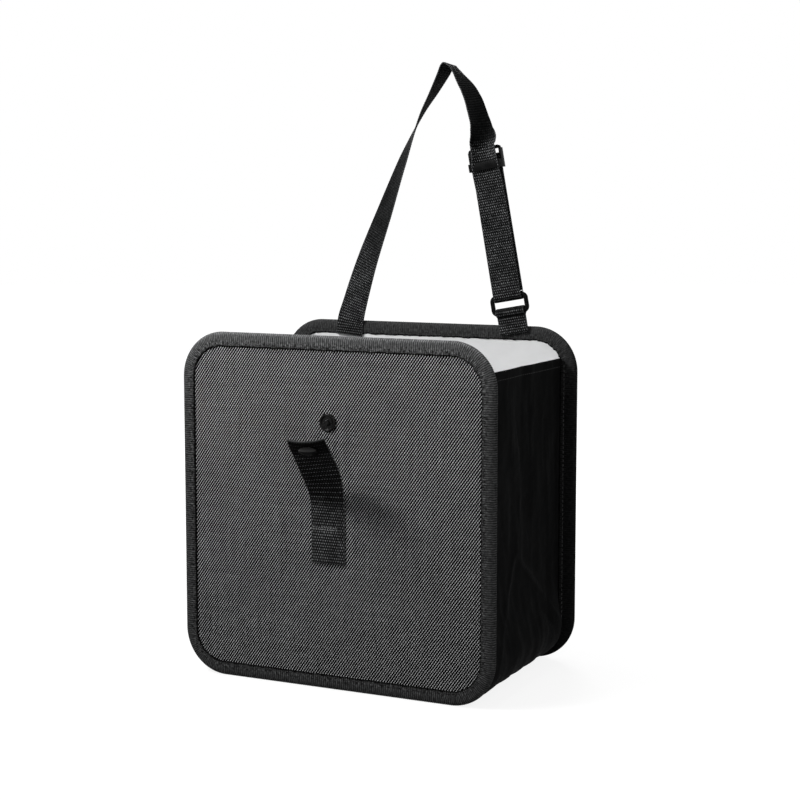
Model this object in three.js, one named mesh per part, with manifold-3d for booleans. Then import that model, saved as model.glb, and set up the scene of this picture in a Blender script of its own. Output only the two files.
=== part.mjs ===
// A back seat organizer: two stiff, fabric covered panels joined by a folding
// fabric gusset, with a hanging strap on the back panel and a snap tab on the front.
// Millimetres. +Z is up, +X runs across the panels, and +Y points to the seat back.
import * as THREE from "three";
import { mergeVertices } from "three/addons/utils/BufferGeometryUtils.js";
import Module from "manifold-3d";

// Driving dimensions of the box
const panelWidth = 250;
const panelHeight = 254;
const bagDepth = 157;
const cornerRadius = 33.4;

// Layers of one panel, from the outside in
const coverThickness = 1.0;
const boardThickness = 2.8;
const liningThickness = 0.5;
const layerGap = 0.1;
const sewnGap = 0.3;

// Grosgrain binding folded over each panel's edge
const tapeThickness = 1.15;
const tapeFace = 10.5;
const tapeEdgeRounding = 2.4;

// Gusset strip that runs down one side, under the bag and up the other side
const gussetInset = 12;
const gussetThickness = 0.9;
const gussetLiningThickness = 0.5;
const gussetTopDrop = 23;
const gussetHemDepth = 8;
const gussetHemThickness = 0.7;
const gussetSag = 8.6;
const gussetSagRun = 8;
const gussetCrease = 1.6;
const gussetCreaseWidth = 16;
const gussetFoldApexHeight = 88;

// Strap webbing
const strapWidth = 23.2;
const webbingThickness = 1.3;
const strapLean = THREE.MathUtils.degToRad(10.3);
const strapSewnLength = 11.5;
const ringLoopSewnLength = 5.5;

// Ring, and where its middle hangs over the back panel's top edge
const ringWire = 3.4;
const ringOuterHeight = 16;
const ringSideClearance = 0.5;
const ringCornerRadius = 3.2;
const ringFromSide = 53;
const ringAbovePanel = 16.5;
const tailAboveRingBar = 2.4;

// Slider that sets the strap's length
const sliderAboveRing = 111;
const sliderLength = 17;
const sliderSideClearance = 0.5;
const sliderEndWidth = 2;
const sliderFrontBarLength = 6.0;
const sliderTopBarLength = 2.6;
const sliderBarDepth = 1.9;
const sliderCentreBar = 2.4;
const sliderBarCover = 0.4;
const sliderSewnLength = 14;
const strapStraightPastSlider = 1;

// Left end of the strap, and the highest point of its loop
const strapLeftFromSide = 59.4;
const strapTopAcross = 19.6;
const strapTopAbovePanel = 196.8;
const strapTopSetBack = 2.4;

// Snap tab on the front panel
const tabWidth = 27;
const tabThickness = 1.5;
const tabAcross = -3.8;
const tabBottomHeight = 92;
const tabLeftFlatLength = 31.6;
const tabRightFlatLength = 35.3;
const tabLeftLean = THREE.MathUtils.degToRad(44.3);
const tabRightLean = THREE.MathUtils.degToRad(49.5);
const tabLeftBend = 28.6;
const tabRightBend = 46.9;
const tabSideLean = 6.8;
const tabCup = 2.6;
const tabCupLength = 24;

// Snap fastener
const snapFromTabEnd = 11;
const snapCapRadius = 7;
const snapCapHeight = 2.2;
const snapSocketRadius = 5.8;
const snapSocketHeight = 2.6;
const snapSocketWall = 1.2;
const snapShankRadius = 1.6;
const snapHoleClearance = 0.3;
const studHeight = 192.8;
const studRadius = 6.6;
const studRimHeight = 1.7;
const studRimWidth = 2.1;
const studFloor = 0.9;
const studBoreDepth = 1.2;
const studPostHeight = 3.4;
const studPostRadius = 2.3;
const rivetHeadRadius = 5.4;
const rivetHeadHeight = 0.8;

// How finely curves are cut
const cornerSteps = 8;
const gussetDepthSteps = 12;
const roundSteps = 24;
const wireSides = 10;
const loopSteps = 120;

// Heights and thicknesses that follow from the values above
const tapeInnerEdge = tapeThickness + layerGap;
const stackThickness = coverThickness + boardThickness + liningThickness + 2 * layerGap;
const panelThickness = stackThickness + 2 * tapeInnerEdge;
const stackInset = tapeThickness + sewnGap;
const innerHalfDepth = bagDepth / 2 - panelThickness;
const ringAcross = panelWidth / 2 - ringFromSide;
const strapLeftAcross = strapLeftFromSide - panelWidth / 2;

// The tab is as long as it takes to bring its snap onto the stud
const tabLength = studHeight - tabBottomHeight + snapFromTabEnd;

const black = (roughness, metalness = 0) => ({ roughness, metalness });
const materials = {
  cover: { color: 0x3a3a3c, ...black(0.85) },
  board: { color: 0x2c2c2e, ...black(0.7) },
  lining: { color: 0xcfd0d2, ...black(0.55) },
  binding: { color: 0x2b2b2d, ...black(0.8) },
  gusset: { color: 0x141416, ...black(0.6) },
  webbing: { color: 0x1c1c1e, ...black(0.8) },
  plastic: { color: 0x101012, ...black(0.35) },
  snap: { color: 0x18181a, ...black(0.25, 0.6) },
};

const part = new THREE.Group();

// Adds one named piece, with a material of its own
function add(name, material, geometry, parent = part) {
  const mesh = new THREE.Mesh(geometry, new THREE.MeshStandardMaterial(materials[material]));
  mesh.name = name;
  parent.add(mesh);
  return mesh;
}

// Closed solid from loose triangles, turned to face outwards
function solidGeometry(points, triangles) {
  let volume = 0;
  for (const [a, b, c] of triangles) {
    volume += points[a].dot(new THREE.Vector3().crossVectors(points[b], points[c]));
  }
  const facing = volume < 0 ? triangles.map(([a, b, c]) => [a, c, b]) : triangles;
  const geometry = new THREE.BufferGeometry().setFromPoints(points);
  geometry.setIndex(facing.flat());
  geometry.computeVertexNormals();
  return geometry;
}

// Solid between two matching grids of points: a sheet's outer and inner face
function sheetGeometry(outer, inner) {
  const rows = outer.length;
  const columns = outer[0].length;
  const points = [...outer.flat(), ...inner.flat()];
  const at = (side, i, j) => side * rows * columns + i * columns + j;
  const triangles = [];
  const quad = (a, b, c, d) => triangles.push([a, b, c], [a, c, d]);
  for (let i = 0; i < rows - 1; i++) {
    for (let j = 0; j < columns - 1; j++) {
      quad(at(0, i, j), at(0, i, j + 1), at(0, i + 1, j + 1), at(0, i + 1, j));
      quad(at(1, i, j), at(1, i + 1, j), at(1, i + 1, j + 1), at(1, i, j + 1));
    }
  }
  for (let i = 0; i < rows - 1; i++) {
    quad(at(0, i, 0), at(0, i + 1, 0), at(1, i + 1, 0), at(1, i, 0));
    const last = columns - 1;
    quad(at(0, i, last), at(1, i, last), at(1, i + 1, last), at(0, i + 1, last));
  }
  for (let j = 0; j < columns - 1; j++) {
    quad(at(0, 0, j), at(1, 0, j), at(1, 0, j + 1), at(0, 0, j + 1));
    const last = rows - 1;
    quad(at(0, last, j), at(0, last, j + 1), at(1, last, j + 1), at(1, last, j));
  }
  return solidGeometry(points, triangles);
}

// Ring made by carrying one closed section round a closed path
function ringGeometry(path, section, place) {
  const points = path.flatMap((station) => section.map((corner) => place(station, corner)));
  const triangles = [];
  const count = section.length;
  path.forEach((station, i) => {
    const next = ((i + 1) % path.length) * count;
    const here = i * count;
    for (let j = 0; j < count; j++) {
      const k = (j + 1) % count;
      triangles.push([here + j, next + j, next + k], [here + j, next + k, here + k]);
    }
  });
  return solidGeometry(points, triangles);
}

// Stations round a rounded rectangle, each with its outward direction
function roundedPath(halfWidth, low, high, radius) {
  const corners = [
    [halfWidth - radius, high - radius, 0],
    [-halfWidth + radius, high - radius, 1],
    [-halfWidth + radius, low + radius, 2],
    [halfWidth - radius, low + radius, 3],
  ];
  return corners.flatMap(([x, z, turn]) => {
    const stations = [];
    for (let i = 0; i <= cornerSteps; i++) {
      const angle = ((turn + i / cornerSteps) * Math.PI) / 2;
      const out = new THREE.Vector2(Math.cos(angle), Math.sin(angle));
      stations.push({ x: x + radius * out.x, z: z + radius * out.y, out });
    }
    return stations;
  });
}

const panelPath = roundedPath(panelWidth / 2, 0, panelHeight, cornerRadius);

// Flat plate of the panel's outline, drawn in by an inset, between two depths
function plateGeometry(inset, yLow, yHigh, holeRadius = 0) {
  const outline = panelPath.map(({ x, z, out }) => [x - out.x * inset, z - out.y * inset]);
  const shape = new THREE.Shape(outline.map(([x, z]) => new THREE.Vector2(x, z)));
  if (holeRadius > 0) {
    const hole = new THREE.Path().absarc(tabAcross, studHeight, holeRadius, 0, 2 * Math.PI, true);
    shape.holes.push(hole);
  }
  const geometry = new THREE.ExtrudeGeometry(shape, {
    depth: yHigh - yLow,
    bevelEnabled: false,
    curveSegments: roundSteps / 2,
  });
  geometry.rotateX(Math.PI / 2);
  geometry.translate(0, yHigh, 0);
  return geometry;
}

// Manifold solids for the pieces that are cut or joined
const wasm = await Module();
wasm.setup();

function toManifold(geometry) {
  const bare = geometry.index ? geometry.toNonIndexed() : geometry.clone();
  bare.deleteAttribute("normal");
  bare.deleteAttribute("uv");
  const merged = mergeVertices(bare, 1e-4);
  return new wasm.Manifold(
    new wasm.Mesh({
      numProp: 3,
      vertProperties: merged.attributes.position.array,
      triVerts: new Uint32Array(merged.index.array),
    }),
  );
}

function fromManifold(solid) {
  const made = solid.getMesh();
  const geometry = new THREE.BufferGeometry();
  geometry.setAttribute("position", new THREE.BufferAttribute(made.vertProperties, 3));
  geometry.setIndex(new THREE.BufferAttribute(made.triVerts, 1));
  geometry.computeVertexNormals();
  return geometry;
}

const joined = (geometries) => {
  const solids = geometries.map(toManifold);
  return fromManifold(solids.reduce((sum, next) => sum.add(next)));
};

const cut = (geometry, tool) => fromManifold(toManifold(geometry).subtract(toManifold(tool)));

// One panel: side is -1 for the front and 1 for the back
function addPanel(prefix, side, holeRadius) {
  const outside = (bagDepth / 2) * side;
  const layer = (depth, thickness) => {
    const near = outside - side * depth;
    const far = near - side * thickness;
    return [Math.min(near, far), Math.max(near, far)];
  };
  const coverDepth = tapeInnerEdge;
  const boardDepth = coverDepth + coverThickness + layerGap;
  const liningDepth = boardDepth + boardThickness + layerGap;
  const plates = [
    ["cover", "cover", coverDepth, coverThickness],
    ["board", "board", boardDepth, boardThickness],
    ["lining", "lining", liningDepth, liningThickness],
  ];
  for (const [name, material, depth, thickness] of plates) {
    const span = layer(depth, thickness);
    add(`${prefix}_${name}`, material, plateGeometry(stackInset, ...span, holeRadius));
  }
  addBinding(prefix, outside - (side * panelThickness) / 2);
}

// Tape folded over the panel's edge: a channel section carried round the outline
function addBinding(prefix, middle) {
  const half = panelThickness / 2;
  const groove = half - tapeThickness;
  const rounding = [];
  const roundingSteps = 3;
  for (let i = 0; i <= roundingSteps; i++) {
    const angle = (Math.PI / 2) * (i / roundingSteps);
    rounding.push([
      tapeEdgeRounding * (1 - Math.sin(angle)),
      half - tapeEdgeRounding * (1 - Math.cos(angle)),
    ]);
  }
  const mirrored = rounding.map(([inset, depth]) => [inset, -depth]);
  const section = [
    [tapeFace, -half],
    ...mirrored,
    ...rounding.reverse(),
    [tapeFace, half],
    [tapeFace, groove],
    [tapeThickness, groove],
    [tapeThickness, -groove],
    [tapeFace, -groove],
  ];
  const geometry = ringGeometry(panelPath, section, ({ x, z, out }, [inset, depth]) => {
    return new THREE.Vector3(x - out.x * inset, middle + depth, z - out.y * inset);
  });
  add(`${prefix}_binding`, "binding", geometry);
}

// Stations down one side of the gusset, under it and up the other side
function gussetPath() {
  const half = panelWidth / 2 - gussetInset;
  const radius = cornerRadius - gussetInset;
  const top = panelHeight - gussetTopDrop;
  const sideSteps = 11;
  const bottomSteps = 10;
  const stations = [];
  const hem = top - gussetHemDepth;
  const sideHeights = [top, hem + 0.01, hem];
  for (let i = 1; i < sideSteps; i++) {
    sideHeights.push(hem + ((cornerRadius - hem) * i) / sideSteps);
  }
  const left = { x: -1, z: 0 };
  const right = { x: 1, z: 0 };
  sideHeights.forEach((z) => stations.push({ x: -half, z, out: left }));
  for (let i = 0; i <= cornerSteps; i++) {
    const angle = Math.PI * (1 + i / cornerSteps / 2);
    const out = { x: Math.cos(angle), z: Math.sin(angle) };
    stations.push({
      x: -half + radius + radius * out.x,
      z: cornerRadius + radius * out.z,
      out,
    });
  }
  for (let i = 1; i < bottomSteps; i++) {
    const x = (half - radius) * ((2 * i) / bottomSteps - 1);
    stations.push({ x, z: gussetInset, out: { x: 0, z: -1 } });
  }
  for (let i = 0; i <= cornerSteps; i++) {
    const angle = Math.PI * (1.5 + i / cornerSteps / 2);
    const out = { x: Math.cos(angle), z: Math.sin(angle) };
    stations.push({
      x: half - radius + radius * out.x,
      z: cornerRadius + radius * out.z,
      out,
    });
  }
  sideHeights.reverse().forEach((z) => stations.push({ x: half, z, out: right }));
  return stations;
}

// How far the gusset's fabric stands out from its seams, at a height and a depth
function gussetBulge(z, y) {
  const halfDepth = innerHalfDepth;
  const fromSeam = halfDepth - Math.abs(y);
  const low = THREE.MathUtils.smoothstep(z, gussetInset, cornerRadius * 2.2);
  const run = THREE.MathUtils.smoothstep(fromSeam, 0, gussetSagRun);
  const sag = gussetSag * (1 - low) * run;
  const middle = Math.max(0, 1 - Math.abs(y) / gussetCreaseWidth);
  const aboveFold = THREE.MathUtils.smoothstep(z, gussetFoldApexHeight * 0.8, panelHeight * 0.6);
  const slope = halfDepth / gussetFoldApexHeight;
  const foldLine = Math.abs(Math.abs(y) - (gussetFoldApexHeight - z) * slope);
  const belowApex = z < gussetFoldApexHeight && z > cornerRadius ? 1 : 0;
  const fold = Math.max(0, 1 - foldLine / (gussetCreaseWidth / 2)) * belowApex;
  return sag - gussetCrease * middle * aboveFold + gussetCrease * 0.7 * fold * run;
}

// Sheet that follows the gusset's path, between two distances inside its outer face
function gussetSheet(shallow, deep, hemThickness) {
  const half = innerHalfDepth - sewnGap;
  const hemLow = panelHeight - gussetTopDrop - gussetHemDepth;
  const outer = [];
  const inner = [];
  for (const { x, z, out } of gussetPath()) {
    const rows = [[], []];
    for (let j = 0; j <= gussetDepthSteps; j++) {
      const y = half * ((2 * j) / gussetDepthSteps - 1);
      const bulge = gussetBulge(z, y);
      const hem = z > hemLow ? hemThickness : 0;
      [shallow - hem, deep].forEach((depth, k) => {
        const shift = bulge - depth;
        rows[k].push(new THREE.Vector3(x + out.x * shift, y, z + out.z * shift));
      });
    }
    outer.push(rows[0]);
    inner.push(rows[1]);
  }
  return sheetGeometry(outer, inner);
}

function addGusset() {
  const liningStart = gussetThickness + layerGap * 2;
  const liningEnd = liningStart + gussetLiningThickness;
  add("gusset", "gusset", gussetSheet(0, gussetThickness, gussetHemThickness));
  add("gusset_lining", "lining", gussetSheet(liningStart, liningEnd, 0));
}

// Flat webbing along stations that give its middle and its width direction
function ribbonGeometry(stations, width, thickness) {
  const front = [];
  const back = [];
  stations.forEach(({ centre, across }, i) => {
    const before = stations[Math.max(0, i - 1)].centre;
    const after = stations[Math.min(stations.length - 1, i + 1)].centre;
    const along = after.clone().sub(before).normalize();
    const normal = new THREE.Vector3().crossVectors(along, across).normalize();
    const corner = (side, face) =>
      centre
        .clone()
        .addScaledVector(across, (side * width) / 2)
        .addScaledVector(normal, (face * thickness) / 2);
    front.push([corner(-1, -1), corner(1, -1)]);
    back.push([corner(-1, 1), corner(1, 1)]);
  });
  return sheetGeometry(front, back);
}

// Values at heights, joined by straight lines
function ramp(pairs, at) {
  const last = pairs[pairs.length - 1];
  if (at <= pairs[0][0]) return pairs[0][1];
  if (at >= last[0]) return last[1];
  const k = pairs.findIndex(([height]) => height >= at);
  const [h0, v0] = pairs[k - 1];
  const [h1, v1] = pairs[k];
  return v0 + ((v1 - v0) * (at - h0)) / (h1 - h0);
}

// The ring, the doubled webbing and the slider share one leaning frame, whose
// origin is the ring's middle, with Z along the webbing and Y towards the seat.
const bindingFront = innerHalfDepth;
const eyeMiddleRadius = ringWire / 2 + sewnGap + webbingThickness / 2;
const ringBarY = bindingFront - webbingThickness - layerGap;
const strapY = ringBarY - eyeMiddleRadius;
const ringBarHeight = (ringOuterHeight - ringWire) / 2;
const strapFrame = new THREE.Group();
strapFrame.position.set(ringAcross, 0, panelHeight + ringAbovePanel);
strapFrame.rotation.y = -strapLean;
strapFrame.updateMatrixWorld(true);

const inStrapFrame = (x, y, z) => new THREE.Vector3(x, y, z).applyMatrix4(strapFrame.matrixWorld);
const frameAcross = new THREE.Vector3(Math.cos(strapLean), 0, Math.sin(strapLean));
const tailY = ringBarY + eyeMiddleRadius;
const tailStart = ringBarHeight + tailAboveRingBar;

// Where the webbing leaves the slider and starts its twist
const straightTop = sliderAboveRing + sliderLength / 2 + strapStraightPastSlider;

// The loop's shape, chosen from the way the strap hangs, as shares of the way
// across and up to its highest point: from the slider's top on the right, and
// from the panel's top edge on the left.
const rightShape = [
  [0.05, 0.145],
  [0.115, 0.331],
  [0.276, 0.517],
  [0.468, 0.671],
  [0.664, 0.817],
  [0.827, 0.932],
];
const leftShape = [
  [0.941, 0.964],
  [0.843, 0.892],
  [0.728, 0.811],
  [0.548, 0.64],
  [0.365, 0.437],
  [0.183, 0.234],
  [0.061, 0.071],
];

// The webbing's turn about its own length in degrees, at the same shares of height
const rightTwist = [
  [0, 0],
  [0.08, 35],
  [0.193, 62],
  [0.323, 72],
  [0.517, 76],
  [0.76, 84],
  [0.922, 97],
];
const leftTwist = [
  [0.005, 0],
  [0.056, 8],
  [0.234, 21],
  [0.437, 35],
  [0.64, 51],
  [0.818, 72],
  [0.976, 90],
];

const loopTop = new THREE.Vector3(
  strapTopAcross,
  bindingFront + strapTopSetBack,
  panelHeight + strapTopAbovePanel,
);
const loopStart = inStrapFrame(0, strapY, straightTop);
const leftEndY = bindingFront - layerGap - webbingThickness / 2;
const leftFoot = new THREE.Vector3(strapLeftAcross, leftEndY, panelHeight);
const leftEnd = new THREE.Vector3(strapLeftAcross, leftEndY, panelHeight - strapSewnLength);

// Points of the loop from the slider's top to the sewn left end
function loopPoints() {
  const between = (from, [across, up]) => {
    const middle = THREE.MathUtils.smoothstep(up, 0, 1);
    return new THREE.Vector3(
      from.x + (loopTop.x - from.x) * across,
      from.y + (loopTop.y - from.y) * middle,
      from.z + (loopTop.z - from.z) * up,
    );
  };
  const crest = webbingThickness * 1.5;
  const crestDrop = webbingThickness * 0.9;
  return [
    loopStart,
    ...rightShape.map((shares) => between(loopStart, shares)),
    new THREE.Vector3(loopTop.x + crest, loopTop.y, loopTop.z - crestDrop),
    loopTop,
    new THREE.Vector3(loopTop.x - crest, loopTop.y, loopTop.z - crestDrop),
    ...leftShape.map((shares) => between(leftFoot, shares)),
    new THREE.Vector3(leftFoot.x + webbingThickness, leftEndY, leftFoot.z + layerGap),
    leftEnd,
  ];
}

// Turn of the webbing at a point of the loop
function loopTurn(point) {
  const onRight = point.x > strapTopAcross;
  const from = onRight ? loopStart : leftFoot;
  const share = (point.z - from.z) / (loopTop.z - from.z);
  return THREE.MathUtils.degToRad(ramp(onRight ? rightTwist : leftTwist, share));
}

// Hanging strap: up from the ring through the slider, over and down to the left
function strapStations() {
  const stations = [];
  const put = (y, z) => stations.push({ centre: inStrapFrame(0, y, z), across: frameAcross });
  const bend = 10;
  put(tailY, tailStart);
  for (let i = 0; i <= bend; i++) {
    const angle = (Math.PI * i) / bend;
    put(
      ringBarY + eyeMiddleRadius * Math.cos(angle),
      ringBarHeight - eyeMiddleRadius * Math.sin(angle),
    );
  }
  put(strapY, straightTop / 2);
  put(strapY, straightTop - strapStraightPastSlider / 2);
  const loop = new THREE.CatmullRomCurve3(loopPoints(), false, "centripetal");
  for (let i = 0; i <= loopSteps; i++) {
    const centre = loop.getPointAt(i / loopSteps);
    const along = loop.getTangentAt(i / loopSteps);
    along.y = 0;
    along.normalize();
    const level = new THREE.Vector3(along.z, 0, -along.x);
    const turn = loopTurn(centre);
    const across = level
      .multiplyScalar(Math.cos(turn))
      .addScaledVector(new THREE.Vector3(0, 1, 0), Math.sin(turn));
    stations.push({ centre, across });
  }
  return stations;
}

// Section of webbing folded round a bar, with a tongue of two layers below it,
// drawn in the frame's YZ plane and as wide as the webbing
function eyeGeometry(barRadius, tongue) {
  const inner = barRadius + sewnGap;
  const outer = inner + webbingThickness;
  const half = webbingThickness;
  const join = Math.acos(half / outer);
  const shape = new THREE.Shape();
  shape.moveTo(-half, -tongue);
  shape.lineTo(half, -tongue);
  const steps = 14;
  for (let i = 0; i <= steps; i++) {
    const angle = -join + ((Math.PI + 2 * join) * i) / steps;
    shape.lineTo(outer * Math.cos(angle), outer * Math.sin(angle));
  }
  shape.closePath();
  const hole = new THREE.Path().absarc(0, 0, inner, 0, 2 * Math.PI, true);
  shape.holes.push(hole);
  const geometry = new THREE.ExtrudeGeometry(shape, {
    depth: strapWidth,
    bevelEnabled: false,
    curveSegments: steps,
  });
  geometry.rotateX(Math.PI / 2);
  geometry.rotateZ(Math.PI / 2);
  geometry.translate(-strapWidth / 2, 0, 0);
  return geometry;
}

// Wire ring of rounded rectangular shape
function addRing() {
  const wire = ringWire / 2;
  const halfInner = strapWidth / 2 + ringSideClearance;
  const halfWidth = halfInner + wire;
  const path = roundedPath(halfWidth, -ringBarHeight, ringBarHeight, ringCornerRadius);
  const section = [];
  for (let i = 0; i < wireSides; i++) {
    const angle = (2 * Math.PI * i) / wireSides;
    section.push([wire * Math.cos(angle), wire * Math.sin(angle)]);
  }
  const geometry = ringGeometry(path, section, ({ x, z, out }, [depth, y]) => {
    return new THREE.Vector3(x + out.x * depth, ringBarY + y, z + out.y * depth);
  });
  add("ring", "plastic", geometry, strapFrame);
}

// Slider: two ends joined by a broad bar in front of the webbing at the foot, a
// narrow one behind it at the top, and the centre bar that the webbing is sewn round
const webbingClear = webbingThickness / 2 + sewnGap;
const sliderEye = sliderCentreBar / 2 + sewnGap + webbingThickness;
const sliderBarY = strapY + webbingClear + sliderEye;

function addSlider() {
  const halfInner = strapWidth / 2 + sliderSideClearance;
  const frontFace = strapY - webbingClear - sliderBarDepth;
  const backFace = sliderBarY + sliderCentreBar / 2 + sliderBarCover;
  const span = 2 * (halfInner + sliderEndWidth);
  const foot = -sliderLength / 2;
  const pieces = [];
  const block = (width, x, front, back, low, high) => {
    const box = new THREE.BoxGeometry(width, back - front, high - low);
    box.translate(x, (front + back) / 2, (low + high) / 2);
    pieces.push(box);
  };
  for (const side of [-1, 1]) {
    const x = side * (halfInner + sliderEndWidth / 2);
    block(sliderEndWidth, x, strapY, backFace, foot, -foot);
    block(sliderEndWidth, x, frontFace, backFace, foot, foot + sliderFrontBarLength);
  }
  block(span, 0, frontFace, frontFace + sliderBarDepth, foot, foot + sliderFrontBarLength);
  const topBarFront = strapY + webbingClear;
  block(span, 0, topBarFront, topBarFront + sliderBarDepth, -foot - sliderTopBarLength, -foot);
  const centre = new THREE.CylinderGeometry(sliderCentreBar / 2, sliderCentreBar / 2, span, 14);
  centre.rotateZ(Math.PI / 2);
  centre.translate(0, sliderBarY, 0);
  pieces.push(centre);
  const slider = add("slider", "plastic", joined(pieces), strapFrame);
  slider.position.z = sliderAboveRing;
  const eye = eyeGeometry(sliderCentreBar / 2, sliderSewnLength);
  const end = add("slider_strap_end", "webbing", eye, strapFrame);
  end.position.set(0, sliderBarY, sliderAboveRing);
}

// Second layer of webbing, from the ring up to the end sewn round the slider
function addStrapTail() {
  const topZ = sliderAboveRing - sliderSewnLength - sewnGap;
  const topY = sliderBarY + webbingThickness / 2;
  const bottomZ = tailStart + sewnGap;
  const steps = 8;
  const stations = [];
  for (let i = 0; i <= steps; i++) {
    const share = i / steps;
    const centre = new THREE.Vector3(
      0,
      tailY + (topY - tailY) * share,
      bottomZ + (topZ - bottomZ) * share,
    );
    stations.push({ centre, across: new THREE.Vector3(1, 0, 0) });
  }
  add("strap_tail", "webbing", ribbonGeometry(stations, strapWidth, webbingThickness), strapFrame);
}

// Short loop that holds the ring, sewn down to the inside of the back binding
function addRingLoop() {
  const reach = ringAbovePanel + ringLoopSewnLength;
  const tongue = reach / Math.cos(strapLean) - ringBarHeight;
  const loop = add("ring_loop", "webbing", eyeGeometry(ringWire / 2, tongue), strapFrame);
  loop.position.set(0, ringBarY, -ringBarHeight);
}

function addStrap() {
  part.add(strapFrame);
  const geometry = ribbonGeometry(strapStations(), strapWidth, webbingThickness);
  add("hanging_strap", "webbing", geometry);
  addRing();
  addRingLoop();
  addSlider();
  addStrapTail();
}

// Edge of the tab after a length of webbing: flat, then bent away and straight
function tabEdge(length, flat, bend, lean) {
  const free = length - flat;
  if (free <= 0) return { lift: 0, height: length };
  const radius = bend / lean;
  const angle = Math.min(free, bend) / radius;
  const straight = Math.max(0, free - bend);
  return {
    lift: radius * (1 - Math.cos(angle)) + straight * Math.sin(angle),
    height: flat + radius * Math.sin(angle) + straight * Math.cos(angle),
  };
}

const coverFace = -bagDepth / 2 + tapeInnerEdge;
const tabFace = coverFace - layerGap - tabThickness / 2;

// Point of the tab's middle layer, share running from -1 at its left edge to 1
function tabPoint(length, share) {
  const left = tabEdge(length, tabLeftFlatLength, tabLeftBend, tabLeftLean);
  const right = tabEdge(length, tabRightFlatLength, tabRightBend, tabRightLean);
  const k = (share + 1) / 2;
  const cupShare = THREE.MathUtils.smoothstep(length, tabLength - tabCupLength, tabLength);
  const cup = tabCup * cupShare * (1 - share * share);
  const lean = (tabLeftLean + tabRightLean) / 2;
  const flat = Math.min(tabLeftFlatLength, tabRightFlatLength);
  const freeShare = Math.max(0, (length - flat) / (tabLength - flat));
  return new THREE.Vector3(
    tabAcross + (share * tabWidth) / 2 + tabSideLean * freeShare ** 1.6,
    tabFace - (left.lift + (right.lift - left.lift) * k) - cup * Math.cos(lean),
    tabBottomHeight + left.height + (right.height - left.height) * k - cup * Math.sin(lean),
  );
}

// Outward direction of the tab's front face at one of its points
function tabNormal(length, share) {
  const step = 0.5;
  const along = tabPoint(length + step, share).sub(tabPoint(length - step, share));
  const across = tabPoint(length, share + step / 10).sub(tabPoint(length, share - step / 10));
  return new THREE.Vector3().crossVectors(across, along).normalize();
}

// Places a turned piece on the tab, its axis along the tab's outward direction
function placeOnTab(mesh, length, distance) {
  const out = tabNormal(length, 0);
  mesh.quaternion.setFromUnitVectors(new THREE.Vector3(0, 1, 0), out);
  mesh.position.copy(tabPoint(length, 0).addScaledVector(out, distance));
  mesh.updateMatrixWorld(true);
}

// Turned piece from radius and height pairs, its axis along Y
const turned = (profile) =>
  new THREE.LatheGeometry(profile.map(([r, h]) => new THREE.Vector2(r, h)), roundSteps);

function addTab() {
  const lengthSteps = 32;
  const widthSteps = 4;
  const front = [];
  const back = [];
  for (let i = 0; i <= lengthSteps; i++) {
    const length = (tabLength * i) / lengthSteps;
    const rows = [[], []];
    for (let j = 0; j <= widthSteps; j++) {
      const share = (2 * j) / widthSteps - 1;
      const out = tabNormal(length, share);
      const middle = tabPoint(length, share);
      rows[0].push(middle.clone().addScaledVector(out, tabThickness / 2));
      rows[1].push(middle.clone().addScaledVector(out, -tabThickness / 2));
    }
    front.push(rows[0]);
    back.push(rows[1]);
  }
  const snapLength = tabLength - snapFromTabEnd;
  const holeRadius = snapShankRadius + snapHoleClearance;
  const drill = new THREE.Mesh(
    new THREE.CylinderGeometry(holeRadius, holeRadius, 6 * tabThickness, 12),
  );
  placeOnTab(drill, snapLength, 0);
  const tool = drill.geometry.applyMatrix4(drill.matrixWorld);
  add("closure_tab", "webbing", cut(sheetGeometry(front, back), tool));
  addSnapOnTab(snapLength);
}

// Cap on the tab's outer face with its shank, and the socket on the inner face
function addSnapOnTab(snapLength) {
  const seat = tabThickness / 2 + sewnGap;
  const shank = 2 * seat - sewnGap;
  const cap = turned([
    [0, snapCapHeight],
    [snapCapRadius * 0.45, snapCapHeight * 0.94],
    [snapCapRadius * 0.8, snapCapHeight * 0.7],
    [snapCapRadius * 0.97, snapCapHeight * 0.35],
    [snapCapRadius, 0],
    [snapShankRadius, 0],
    [snapShankRadius, -shank],
    [0, -shank],
  ].reverse());
  placeOnTab(add("snap_cap", "snap", cap), snapLength, seat);
  const mouth = studPostRadius + snapHoleClearance;
  const socket = turned([
    [0, 0],
    [snapSocketRadius, 0],
    [snapSocketRadius, snapSocketHeight * 0.4],
    [snapSocketRadius - snapSocketWall, snapSocketHeight],
    [mouth, snapSocketHeight],
    [mouth, snapSocketWall],
    [0, snapSocketWall],
  ]);
  const socketMesh = add("snap_socket", "snap", socket);
  placeOnTab(socketMesh, snapLength, -seat - sewnGap);
  socketMesh.quaternion.setFromUnitVectors(
    new THREE.Vector3(0, 1, 0),
    tabNormal(snapLength, 0).negate(),
  );
}

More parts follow.
